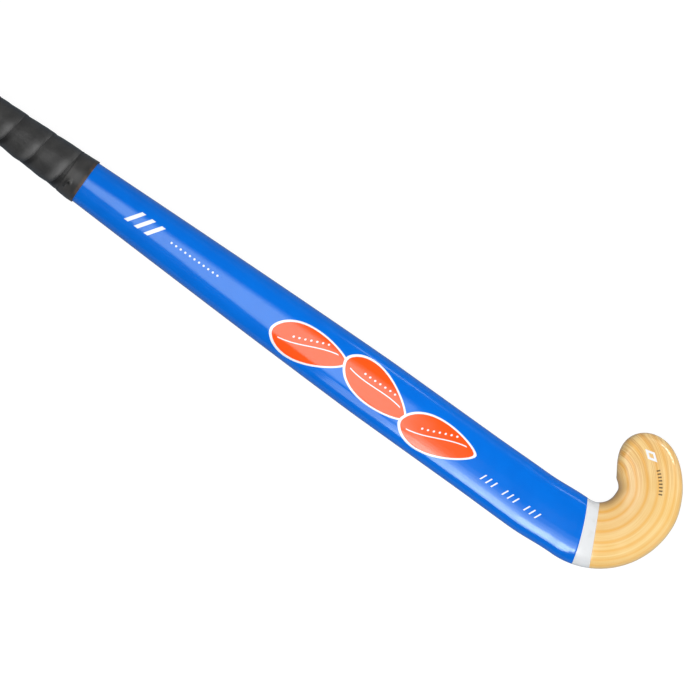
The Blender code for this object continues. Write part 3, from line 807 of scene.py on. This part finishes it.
def make_lacquer():
    coat = {"Coat_Weight": 0.14, "Coat_Roughness": 0.06}
    shine = {"Specular_IOR_Level": 0.5, "Specular_Tint": SHINE_TINT}
    lacquer = Finish("blue_lacquer", BLUE, 0.12, **shine, **coat)
    mottle = lacquer.noise(MOTTLE_FINENESS, 3.0)
    blue = lacquer.mixed(mottle.step(*MOTTLE_TONES) * MOTTLE_DEPTH, BLUE, BLUE_DEEP)
    printed = dashes(lacquer, strokes(lacquer, leaves(lacquer, blue)))
    on_back = lacquer.strip()[2].step(*BACK_ONLY)
    lacquer.feed(Base_Color=lacquer.mixed(on_back, blue, printed))
    waves = lacquer.noise(WAVE_FINENESS, 1.0)
    peel = lacquer.noise(PEEL_FINENESS, 2.0)
    lacquer.bumpy(waves * WAVE_SHARE + peel * PEEL_SHARE, LACQUER_RELIEF)
    return lacquer.material


# %% Blue shaft wrap
WRAP_TOP = 0.514
WRAP_THICKNESS = 0.0005
PAINT_EDGE = 0.00012
WRAP_STEP = 0.004
SLANTED_STEP = 0.0012
wrap_runs = even(run_at(WRAP_TOP), SKEW_START, WRAP_STEP)
wrap_runs += even(SKEW_START, BAND_TOP[0], SLANTED_STEP)[1:]
wrap_wall = wall(wrap_runs, 0.0, WRAP_THICKNESS, PAINT_EDGE)
wrapped("blue_wrap", wrap_wall, make_lacquer(), "blue_shaft_wrap", slot="blue_lacquer")

# %% [markdown]
# ## White band at the head
# Where the wrap ends, a band of white lacquer is sprayed on the slant over the step to the bare wood.
# It could be one more mask in the blue finish. A thin skin of its own, level with the blue, is used
# instead, so that the joint shows as a fine line.

# %% White band
BAND_WHITE = srgb(217, 219, 221)
BAND_GREY = srgb(204, 204, 202)
BAND_WEAR_FINENESS = 160.0
BAND_WEAR_TONES = (0.5, 0.74)
BAND_WEAR_DEPTH = 0.4
BAND_WAVE_FINENESS = 60.0
BAND_RELIEF = 0.0001


def make_white():
    coat = {"Coat_Weight": 0.1, "Coat_Roughness": 0.06}
    white = Finish("white_lacquer", BAND_WHITE, 0.25, Specular_IOR_Level=0.35, **coat)
    wear = white.noise(BAND_WEAR_FINENESS, 4.0).step(*BAND_WEAR_TONES) * BAND_WEAR_DEPTH
    white.feed(Base_Color=white.mixed(wear, BAND_WHITE, BAND_GREY))
    white.bumpy(white.noise(BAND_WAVE_FINENESS, 2.0), BAND_RELIEF)
    return white.material


BAND_THICKNESS = 0.0007
BAND_STEP = 0.0006
PAINT_JOINT = 0.00002
BAND_DEPTH = 0.00004
band_runs = even(BAND_TOP[0] + PAINT_JOINT, BAND_FOOT[0], BAND_STEP)
band_wall = wall(band_runs, BAND_DEPTH, BAND_THICKNESS, PAINT_EDGE)
wrapped("painted_band", band_wall, make_white(), "white_band", slot="white_lacquer")

# %% [markdown]
# ## Wound grip
# The grip is a strip of soft foam-backed tape, wound round the handle in a spiral. Each turn laps a
# little over the one next to it, which gives the hand a soft ridge. A tube with painted rings would
# look flat at its outline, so the strip itself is modelled: one long sheet whose columns run across
# the tape and whose rows go round and round.

# %% The strip and its crown
FINISHING_TAPE_FOOT = 0.508
FINISHING_TAPE_TOP = 0.5225
SEAM_START = 0.5220
SEAM_BOW = 0.0035
GRIP_FOOT = WRAP_TOP + GAP
GRIP_PITCH = 0.025
GRIP_TOP = STICK_LENGTH - CAP_FLANGE - GAP
TAPE_WIDTH = 0.0285
ROWS_PER_TURN = 72
TAPE_COLUMNS = 30
TAPE_THICKNESS = 0.0003
TAPE_BASE = 0.00015
TAPE_LAP = 0.0004
SIDE_CROWN = 0.0003
BACK_CROWN = 0.0010
CROWN_FROM = -0.0012
CROWN_TOP = 0.0042
CROWN_FALL_TO = 0.015
CROWN_FALL = 0.8
CROWN_END = 0.018
LAP_FROM = 0.016
LUMP_SIZE = 0.013
LUMP_HEIGHT = 0.00028
SMALL_LUMP_SIZE = 0.37 * LUMP_SIZE


def crown(across, turn):
    """Height of the tape over its bed, at a distance from its head-side edge.

    The tape is fullest just inside that edge and fuller on the back and the face than at the sides.
    """
    facing = 0.5 - 0.5 * math.cos(4 * math.pi * turn)
    full = SIDE_CROWN + (BACK_CROWN - SIDE_CROWN) * facing
    swell = smooth(across, CROWN_FROM, CROWN_TOP)
    swell *= 1 - CROWN_FALL * smooth(across, CROWN_TOP, CROWN_FALL_TO)
    swell *= 1 - smooth(across, CROWN_END, TAPE_WIDTH)
    lap = TAPE_LAP * (1 - smooth(across, LAP_FROM, TAPE_WIDTH))
    return TAPE_BASE + full * swell + lap


def seam(winding):
    """Where the head-side edge of the tape lies. On the back it bows a little towards the head."""
    bowed = math.sin(2 * math.pi * winding) ** 2 if winding % 1.0 < 0.5 else 0.0
    return SEAM_START + GRIP_PITCH * winding - SEAM_BOW * bowed


def lump(point):
    """Soft unevenness of a hand-wound tape."""
    large = noise.noise(point / LUMP_SIZE)
    small = noise.noise(point / SMALL_LUMP_SIZE)
    return LUMP_HEIGHT * (large + 0.5 * small)


print("turns of the grip:", math.ceil((GRIP_TOP - GRIP_FOOT) / GRIP_PITCH))


# %% The rubber of the grip, with wear, painted shade and a painted highlight
GRIP_GREY = srgb(54, 54, 54)
GRIP_PAINTED_SHADE = srgb(26, 26, 26)
GRIP_WORN = srgb(66, 66, 65)
GRIP_RUBBED_SHEEN = srgb(92, 92, 92)
DIP_SHADE_FROM = 0.68
DIP_SHADE_TO = 0.80
DIP_SHADE = 0.9
SHADED_HEEL_SIDE = (0.22, 0.36)
LEAST_DIP_SHADE = 0.2
WORN_FINENESS = 75.0
WORN_TONES = (0.35, 0.7)
WORN_DEPTH = 0.6
WEAR_SHEEN_IN = (0.02, 0.10)
WEAR_SHEEN_OUT = (0.34, 0.12)
RUBBED_SHEEN_FROM = (0.19, 0.27)
RUBBED_SHEEN_TO = (0.38, 0.31)
RUBBED_SHEEN_DEPTH = 0.7
SATIN_ROUGHNESS = 0.34
SATIN_SPREAD = 0.16
PORES_PER_METRE = 1400.0
PORE_SHARE = 0.15
SPECK_FINENESS = 2600.0
SPECK_SHARE = 0.12
CREASE_FINENESS = 190.0
CREASE_STRETCH = (0.45, 1.0, 1.0)
CREASE_SHARE = 1.3
RUBBER_RELIEF = 0.0005


def make_grip_rubber():
    """Painted shade where one turn dips under the next; a paler crown, part wear and part painted
    highlight.
    """
    rubber = Finish("grip_rubber", GRIP_GREY, 0.42, Specular_IOR_Level=0.36)
    across, turn = rubber.strip()[1:]
    patches = rubber.noise(WORN_FINENESS, 4.0)
    # Painted shade in the dip beside each seam, deepest on the heel side.
    heel_side_shade = turn.step(*SHADED_HEEL_SIDE) * (1.0 - LEAST_DIP_SHADE) + LEAST_DIP_SHADE
    dip_shade = across.step(DIP_SHADE_FROM, DIP_SHADE_TO) * heel_side_shade * DIP_SHADE
    # The paler crown patch is partly wear from the hand and partly a painted highlight, on the heel side
    # only.
    worn_crown_sheen = across.step(*WEAR_SHEEN_IN) * across.step(*WEAR_SHEEN_OUT)
    rubbed_sheen = turn.step(*RUBBED_SHEEN_FROM) * turn.step(*RUBBED_SHEEN_TO)
    colour = rubber.mixed(patches.step(*WORN_TONES) * WORN_DEPTH, GRIP_GREY, GRIP_WORN)
    colour = rubber.mixed(worn_crown_sheen * rubbed_sheen * RUBBED_SHEEN_DEPTH, colour, GRIP_RUBBED_SHEEN)
    rubber.feed(Base_Color=rubber.mixed(dip_shade, colour, GRIP_PAINTED_SHADE))
    rubber.feed(Roughness=patches * SATIN_SPREAD + SATIN_ROUGHNESS)
    pores = rubber.node("TexVoronoi", {}, {"Vector": rubber.place, "Scale": PORES_PER_METRE})
    specks = rubber.noise(SPECK_FINENESS, 2.0)
    creases = rubber.noise(CREASE_FINENESS, 4.0, CREASE_STRETCH)
    rubber.bumpy(pores * PORE_SHARE + specks * SPECK_SHARE + creases * CREASE_SHARE, RUBBER_RELIEF)
    return rubber.material


# %% Wind the grip
def make_grip_piece():
    first = (GRIP_FOOT - SEAM_START - TAPE_WIDTH) / GRIP_PITCH
    last = (GRIP_TOP - SEAM_START) / GRIP_PITCH
    rows = math.ceil((last - first) * ROWS_PER_TURN)
    bm, cells = grid_sheet(TAPE_COLUMNS, rows)
    strip = bm.verts.layers.float_vector[STRIP]
    for vertex, column, row in cells:
        winding = first + (last - first) * row / rows
        turn = winding % 1.0
        across = TAPE_WIDTH * column / TAPE_COLUMNS
        place = min(max(seam(winding) + across, GRIP_FOOT), GRIP_TOP)
        across = min(max(place - seam(winding), 0.0), TAPE_WIDTH)
        section = Section(run_at(place))
        height = crown(across, turn) + lump(section.point(turn, 0.0)[0])
        vertex.co = section.point(turn, -height)[0]
        vertex[strip] = (winding, across / TAPE_WIDTH, turn)
    bmesh.ops.remove_doubles(bm, verts=bm.verts, dist=SAME_POINT)
    bmesh.ops.dissolve_degenerate(bm, edges=bm.edges, dist=NO_LENGTH)
    bmesh.ops.recalc_face_normals(bm, faces=bm.faces)
    bmesh.ops.solidify(bm, geom=bm.faces[:], thickness=TAPE_THICKNESS)
    return bm


grip = finished("wound_grip", make_grip_piece(), make_grip_rubber(), "grip_tape", slot="grip_black")

# %% [markdown]
# ## Finishing tape
# A short length of thin black tape, wound twice round, holds the lower end of the grip. It is a strip
# with two ends like the real one, and not a ring: its ends lie under the stick. Where a hand has
# pulled it, it has a small wrinkle, whose dark crescent is a painted shadow. A brown line runs in
# patches along its edge at the blue.

# %% Finishing tape
FINISHING_TURNS = 2.04
FINISHING_START = 0.60
FINISHING_COLUMNS = 34
FINISHING_ROWS = 300
FINISHING_PROUD = 0.00022
FINISHING_LAP = 0.00012
FINISHING_LAP_FROM = 0.92
FINISHING_ASKEW = 0.0003
FINISHING_THICKNESS = 0.00015
FINISHING_BLACK = srgb(50, 50, 50)
FINISHING_WORN = srgb(62, 61, 60)
EDGE_BROWN = srgb(104, 80, 60)
FOLD_SHADOW_BLACK = srgb(16, 16, 16)
EVEN_TONES = (0.3, 0.7)
BROWN_EDGE_REACH = (0.24, 0.04)
BROWN_EDGE_FINENESS = 90.0
BROWN_EDGE_TONES = (0.42, 0.6)
BROWN_EDGE_SHOWING = 0.6
TAPE_CREASE_FINENESS = 110.0
TAPE_CREASE_STRETCH = (1.0, 0.5, 0.5)
TAPE_SPECK_FINENESS = 1500.0
TAPE_SPECK_SHARE = 0.1
TAPE_ROUGHNESS = 0.3
TAPE_ROUGHNESS_SPREAD = 0.2
TAPE_RELIEF = 0.00025
WRINKLE_SHARE = 0.66
WRINKLE_TURN = 0.308
WRINKLE_LONG = 0.15
WRINKLE_WIDE = 0.024
WRINKLE_HEIGHT = 0.0009
WRINKLE_FOLD = 0.35
WRINKLE_SIDE = (-0.6, 0.8)
FOLD_RING = 0.8
FOLD_REACH = (0.5, 0.1)
FOLD_SIDE = (-0.6, 0.6)
FOLD_SHADE = 0.8


def make_finishing_look():
    tape = Finish("finishing_tape", FINISHING_BLACK, 0.4, Specular_IOR_Level=0.4)
    across, turn = tape.strip()[1:]
    crease = tape.noise(TAPE_CREASE_FINENESS, 3.0, TAPE_CREASE_STRETCH)
    specks = tape.noise(TAPE_SPECK_FINENESS, 2.0)
    colour = tape.mixed(crease.step(*EVEN_TONES), FINISHING_BLACK, FINISHING_WORN)
    # A brown line in patches along the tape's edge at the blue.
    brown_edge = across.step(*BROWN_EDGE_REACH) * tape.noise(BROWN_EDGE_FINENESS).step(*BROWN_EDGE_TONES)
    along = (across - WRINKLE_SHARE) * (1.0 / WRINKLE_LONG)
    around = (turn - WRINKLE_TURN) * (1.0 / WRINKLE_WIDE)
    ring = (along * along + around * around).math("SQRT")
    # Painted shadow: a dark crescent beside the wrinkle.
    shade = abs(ring - FOLD_RING).step(*FOLD_REACH) * (along - around).step(*FOLD_SIDE)
    colour = tape.mixed(shade * FOLD_SHADE, colour, FOLD_SHADOW_BLACK)
    tape.feed(Base_Color=tape.mixed(brown_edge * BROWN_EDGE_SHOWING, colour, EDGE_BROWN))
    tape.feed(Roughness=crease * TAPE_ROUGHNESS_SPREAD + TAPE_ROUGHNESS)
    tape.bumpy(crease + specks * TAPE_SPECK_SHARE, TAPE_RELIEF)
    return tape.material


def wrinkle(share, turn):
    """A small crescent where the tape has been pulled askew."""
    along = (share - WRINKLE_SHARE) / WRINKLE_LONG
    around = (turn - WRINKLE_TURN) / WRINKLE_WIDE
    fold = (math.hypot(along, around) - 1.0) / WRINKLE_FOLD
    return WRINKLE_HEIGHT * math.exp(-(fold**2)) * smooth(along - around, *WRINKLE_SIDE)


def grip_height(place, turn):
    """Height of the uppermost turn of the grip at a place, lumps and all."""
    windings = [turn + whole for whole in (-2, -1, 0, 1)]
    below = [winding for winding in windings if 0.0 <= place - seam(winding) <= TAPE_WIDTH]
    height = max(crown(place - seam(winding), turn) for winding in below)
    return height + lump(Section(run_at(place)).point(turn, 0.0)[0])


def make_finishing_piece():
    bm, cells = grid_sheet(FINISHING_COLUMNS, FINISHING_ROWS)
    strip = bm.verts.layers.float_vector[STRIP]
    length = FINISHING_TAPE_TOP - FINISHING_TAPE_FOOT
    for vertex, column, row in cells:
        winding = FINISHING_START + FINISHING_TURNS * row / FINISHING_ROWS
        turn = winding % 1.0
        share = column / FINISHING_COLUMNS
        lap = smooth(winding - FINISHING_START, FINISHING_LAP_FROM, 1.0)
        askew = FINISHING_ASKEW * math.sin(2 * math.pi * winding) * (1 - share)
        place = FINISHING_TAPE_FOOT + length * share + askew
        section = Section(run_at(place))
        bed = grip_height(place, turn)
        height = bed + FINISHING_PROUD + FINISHING_LAP * lap + wrinkle(share, turn) * lap
        vertex.co = section.point(turn, -height)[0]
        vertex[strip] = (winding, share, turn)
    bmesh.ops.recalc_face_normals(bm, faces=bm.faces)
    bmesh.ops.solidify(bm, geom=bm.faces[:], thickness=FINISHING_THICKNESS)
    return bm


tape_look = make_finishing_look()
tape_sheet = make_finishing_piece()
finished("grip_finishing_tape", tape_sheet, tape_look, "finishing_tape", slot="finishing_tape_black")

# %% [markdown]
# ## Butt cap
# The top of the handle is closed by a moulded cap, whose skirt goes under the grip. It could be a
# cylinder with bevelled edges, but the handle is oval there, so the cap is wrapped along stations too.
# Its rim is rounded and its end slightly domed, because a moulding has no sharp edges, and a shallow
# ring runs round the end.

# %% Butt cap
CAP_SKIRT = 0.018
CAP_INNER_FACE = STICK_LENGTH - CAP_FLANGE
CAP_SKIRT_OUTER = 0.00115
CAP_SKIRT_INNER = 0.00195
CAP_RIM = 0.0011
CAP_DOME = 0.0002
CAP_DOME_MIDDLE = 0.0040
CAP_DOME_RIM = 0.0045
CAP_DOME_STEP = 0.0012
CAP_RING = ((0.0006, 0.0041), (0.0006, 0.0035), (0.0001, 0.0031))
CAP_ARRIS = 0.0004
CAP_BLACK = srgb(40, 40, 42)
CAP_DARK = srgb(36, 36, 38)
CAP_PALE = srgb(46, 46, 48)
CAP_GRAIN_FINENESS = 1900.0
CAP_PATCH_FINENESS = 120.0
CAP_RELIEF = 0.00004


def make_cap_look():
    cap = Finish("cap_plastic", CAP_BLACK, 0.4)
    patches = cap.noise(CAP_PATCH_FINENESS)
    cap.feed(Roughness=patches * SATIN_SPREAD + SATIN_ROUGHNESS)
    cap.feed(Base_Color=cap.mixed(patches.step(*EVEN_TONES), CAP_DARK, CAP_PALE))
    cap.bumpy(cap.noise(CAP_GRAIN_FINENESS), CAP_RELIEF)
    return cap.material


def cap_stations():
    """From the middle of the end face, over the rim and the flange, to the skirt and back inside."""
    end = STICK_LENGTH
    half = HANDLE_WIDTH / 2
    depths = even(half - CAP_DOME_MIDDLE, CAP_DOME_RIM, CAP_DOME_STEP)
    dome = [(end - CAP_DOME * (1 - depth / half) ** 2, depth) for depth in depths]
    ring = [(end - below, depth) for below, depth in CAP_RING]
    rim = [
        (end - CAP_RIM * (1 - math.cos(turn)), -CAP_PROUD + CAP_RIM * (1 - math.sin(turn)))
        for turn in even(0.0, math.pi / 2, math.pi / 12)
    ]
    flange = [(CAP_INNER_FACE + CAP_ARRIS, -CAP_PROUD), (CAP_INNER_FACE, -CAP_PROUD + CAP_ARRIS)]
    skirt = [(CAP_INNER_FACE, CAP_SKIRT_OUTER), (CAP_INNER_FACE - CAP_SKIRT, CAP_SKIRT_OUTER)]
    inside = [(CAP_INNER_FACE - CAP_SKIRT, CAP_SKIRT_INNER), (CAP_INNER_FACE, CAP_SKIRT_INNER)]
    return [(run_at(place), depth) for place, depth in dome + ring + rim + flange + skirt + inside]


wrapped("moulded_butt_cap", cap_stations(), make_cap_look(), "butt_cap", closed=False, slot="cap_black")

# %% [markdown]
# ## Inside the handle
# The cane slabs, rubber springs, whipping, sleeve and underlay are out of sight, and their solids are
# already the right shape. They stay as they are and only get a finish, so that a cut-away view of the
# stick reads like the real one.


# %% Finishes of the inner solids
INNER_RELIEF = 0.0001


def inner_look(name, pale, dark, roughness, scale, stretch):
    look = Finish(name, pale, roughness)
    streaks = look.noise(scale, 3.0, stretch)
    look.feed(Base_Color=look.mixed(streaks.step(*EVEN_TONES), pale, dark))
    look.bumpy(streaks, INNER_RELIEF)
    return look.material


CANE = srgb(216, 186, 138), srgb(190, 150, 98)
RUBBER = srgb(34, 34, 34), srgb(46, 46, 46)
THREAD = srgb(160, 152, 132), srgb(112, 104, 86)
FIBRE = srgb(222, 218, 198), srgb(196, 192, 168)
FOAM = srgb(120, 120, 122), srgb(96, 96, 98)
ALONG_THE_STICK = (0.04, 1.0, 1.0)
ROUND_THE_STICK = (1.0, 0.1, 0.1)
EVEN_GRAIN = (1.0, 1.0, 1.0)
INNER_LOOKS = {
    "cane_slab": inner_look("cane_finish", *CANE, 0.6, 500.0, ALONG_THE_STICK),
    "rubber_spring": inner_look("rubber_finish", *RUBBER, 0.8, 400.0, EVEN_GRAIN),
    "splice_binding": inner_look("thread_finish", *THREAD, 0.8, 1300.0, ROUND_THE_STICK),
    "glass_fibre_sleeve": inner_look("fibre_finish", *FIBRE, 0.4, 900.0, EVEN_GRAIN),
    "grip_underlay": inner_look("foam_finish", *FOAM, 0.9, 1100.0, EVEN_GRAIN),
}
for node_name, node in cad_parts.items():
    for start, look in INNER_LOOKS.items():
        if node_name.startswith(start):
            node.data.materials.clear()
            node.data.materials.append(look)
            print(node_name, "gets", look.name)

# %% [markdown]
# ## Camera
# The photograph looks straight down on the stick, which lies across the picture. A near camera would
# show the stick's sides as it swells towards the lens, so this one is high above with a long lens. It
# is turned by the slant of the shaft instead of the stick, because a piece stays where its solid is.

# %% Camera
PHOTO_MIDDLE = (0.1891, -0.0223)
PHOTO_SPAN = 0.5236
SHAFT_SLANT = math.radians(35.64)
CAMERA_HEIGHT = 6.0
SENSOR = 36.0
SPAN_HEIGHT = 0.018

camera_data = bpy.data.cameras.new("camera")
camera_data.sensor_width = SENSOR
camera_data.lens = SENSOR * (CAMERA_HEIGHT - SPAN_HEIGHT) / PHOTO_SPAN
camera = bpy.data.objects.new("camera", camera_data)
camera.location = (*PHOTO_MIDDLE, CAMERA_HEIGHT)
camera.rotation_euler = (0.0, 0.0, SHAFT_SLANT)
bpy.context.scene.collection.objects.link(camera)
bpy.context.scene.camera = camera
print("lens of", round(camera_data.lens), "mm at a height of", CAMERA_HEIGHT, "m")

# %% [markdown]
# ## Floor
# A floor that is lit to white would need lamps so strong that the pale wood clips. So the floor is dull
# under the lamps, which keeps the soft shadow, and glows by itself to the camera. Reflections see a
# dimmer, cooler glow: at full strength it would turn the rounded sides of the lacquer white.

# %% Floor
FLOOR_SIZE = 30.0
FLOOR_COLOUR = (0.14, 0.14, 0.14)
FLOOR_GLOW = 0.92
FLOOR_WHITE = (1.0, 1.0, 1.0)
FLOOR_BELOW = 0.0005
GLOSSY_SHARE = 0.22
REFLECTED_TINT = (0.38, 0.62, 0.95)


def make_floor():
    floor = Finish("pale_floor", FLOOR_COLOUR, 0.9)
    kinds = ("Camera", "Glossy", "Transmission")
    rays = [floor.node("LightPath", {}, {}, f"Is {kind} Ray") for kind in kinds]
    camera_ray, glossy_ray, through_ray = rays
    seen = camera_ray.math("MAXIMUM", through_ray).math("MAXIMUM", glossy_ray * GLOSSY_SHARE)
    hue = floor.mixed(glossy_ray, FLOOR_WHITE, REFLECTED_TINT)
    glow = floor.node("Emission", {}, {"Color": hue, "Strength": seen * FLOOR_GLOW})
    base = Wire(floor, floor.shader.outputs[0])
    both = floor.node("AddShader", {}, {0: base, 1: glow})
    floor.tree.links.new(both.socket, floor.tree.nodes["Material Output"].inputs["Surface"])
    return floor.material


floor_mesh = bpy.data.meshes.new("floor")
floor_bm = bmesh.new()
bmesh.ops.create_grid(floor_bm, x_segments=1, y_segments=1, size=FLOOR_SIZE / 2)
floor_bm.to_mesh(floor_mesh)
floor_bm.free()
floor_mesh.materials.append(make_floor())
floor = bpy.data.objects.new("floor", floor_mesh)
floor.location.z = -FLOOR_BELOW
bpy.context.scene.collection.objects.link(floor)
print("floor of", FLOOR_SIZE, "m")

# %% [markdown]
# ## Light
# A glossy shaft mirrors its lamps as long streaks, so each lamp is placed for a streak. Soft edges
# could come from a rougher lacquer, but that would veil the blue, so the long box is made of strips
# that get dimmer towards its edges. The heel boxes give the bright lower highlight, and those on
# stands the thin streaks on the toe and the inner side. The fills are hidden from reflections.


# %% Two kinds of soft box
def soft_box(name, x_range, y_range, height, glow):
    """A level soft box above the stick that shines with an even glow."""
    size = (x_range[1] - x_range[0], y_range[1] - y_range[0])
    lamp = bpy.data.lights.new(name, "AREA")
    lamp.shape = "RECTANGLE"
    lamp.size, lamp.size_y = size
    lamp.energy = glow * math.pi * size[0] * size[1]
    holder = bpy.data.objects.new(name, lamp)
    holder.location = (sum(x_range) / 2, sum(y_range) / 2, height)
    holder.visible_camera = False
    bpy.context.scene.collection.objects.link(holder)
    return holder


def aimed_box(name, place, aim, size, glow):
    """A soft box on a stand, turned towards a point on the stick."""
    holder = soft_box(name, (-size[0] / 2, size[0] / 2), (-size[1] / 2, size[1] / 2), 0.0, glow)
    holder.location = place
    holder.rotation_euler = (Vector(aim) - Vector(place)).to_track_quat("-Z", "Y").to_euler()
    return holder


# %% Boxes above the stick
BOX_HEIGHT = 0.6
LONG_BOX_GLOW = 3.25
LONG_BOX_PARTS = (
    ((0.12, 0.385), -0.29),
    ((0.05, 0.12), -0.25),
    ((-0.02, 0.05), -0.20),
    ((-0.30, -0.02), -0.155),
)
LOW_STRIP = 0.04
HIGH_EDGES = (0.03, 0.07, 0.12)
STRIP_SHARES = (0.6, 1.0, 0.6, 0.22)
HEEL_BOXES = {
    "heel_box": ((0.28, 0.395), (-0.95, -0.36), 2.9),
    "heel_spot": ((0.395, 0.455), (-0.82, -0.33), 6.6),
    "heel_glint": ((0.455, 0.56), (-0.69, -0.33), 14.0),
    "heel_tip_glint": ((0.455, 0.56), (-0.95, -0.69), 8.5),
    "heel_glint_edge": ((0.395, 0.56), (-0.33, -0.24), 4.2),
    "heel_fill": ((0.385, 0.52), (-0.24, -0.17), 2.5),
    "heel_rest": ((0.385, 0.50), (-0.17, -0.095), 0.9),
    "heel_haze": ((0.385, 0.437), (-0.095, -0.01), 0.4),
}

for i, (x_range, low_y) in enumerate(LONG_BOX_PARTS):
    edges = (low_y, low_y + LOW_STRIP, *HIGH_EDGES)
    for j, share in enumerate(STRIP_SHARES):
        name = f"long_box_{i + 1}_{j + 1}"
        soft_box(name, x_range, edges[j : j + 2], BOX_HEIGHT, LONG_BOX_GLOW * share)
for name, (x_range, y_range, glow) in HEEL_BOXES.items():
    soft_box(name, x_range, y_range, BOX_HEIGHT, glow)

# %% Boxes on stands and fills
aimed_box("toe_streak_box", (0.72, 0.75, 0.36), (0.42, 0.03, 0.0), (0.40, 0.16), 18.0)
aimed_box("inner_streak_box", (0.34, 0.80, 0.46), (0.34, 0.0, 0.0), (0.14, 0.12), 3.0)
fills = [
    soft_box("upper_fill", (-0.30, 0.12), (-0.50, -0.20), BOX_HEIGHT, 2.95),
    aimed_box("head_end_fill", (1.25, -0.20, 0.16), (0.42, 0.0, 0.0), (0.8, 0.5), 3.6),
    aimed_box("inner_side_fill", (0.12, 1.00, 0.42), (0.12, 0.0, 0.0), (1.3, 0.5), 2.0),
]
for fill in fills:
    fill.visible_glossy = False
print("lamps:", len(bpy.data.lights))

# %% [markdown]
# ## Room and view
# The pale walls of a studio send a little light back from all round, which lifts the shadows. Walls
# could be built, but a faint, even world does the same. The Standard view shows each colour as it is.

# %% The pale room
ROOM_COLOUR = (0.95, 0.97, 1.0, 1.0)
ROOM_GLOW = 0.08
world = bpy.data.worlds.new("pale_room")
bpy.context.scene.world = world
world.use_nodes = True
room = world.node_tree.nodes["Background"].inputs
room["Color"].default_value = ROOM_COLOUR
room["Strength"].default_value = ROOM_GLOW
bpy.context.scene.view_settings.view_transform = "Standard"
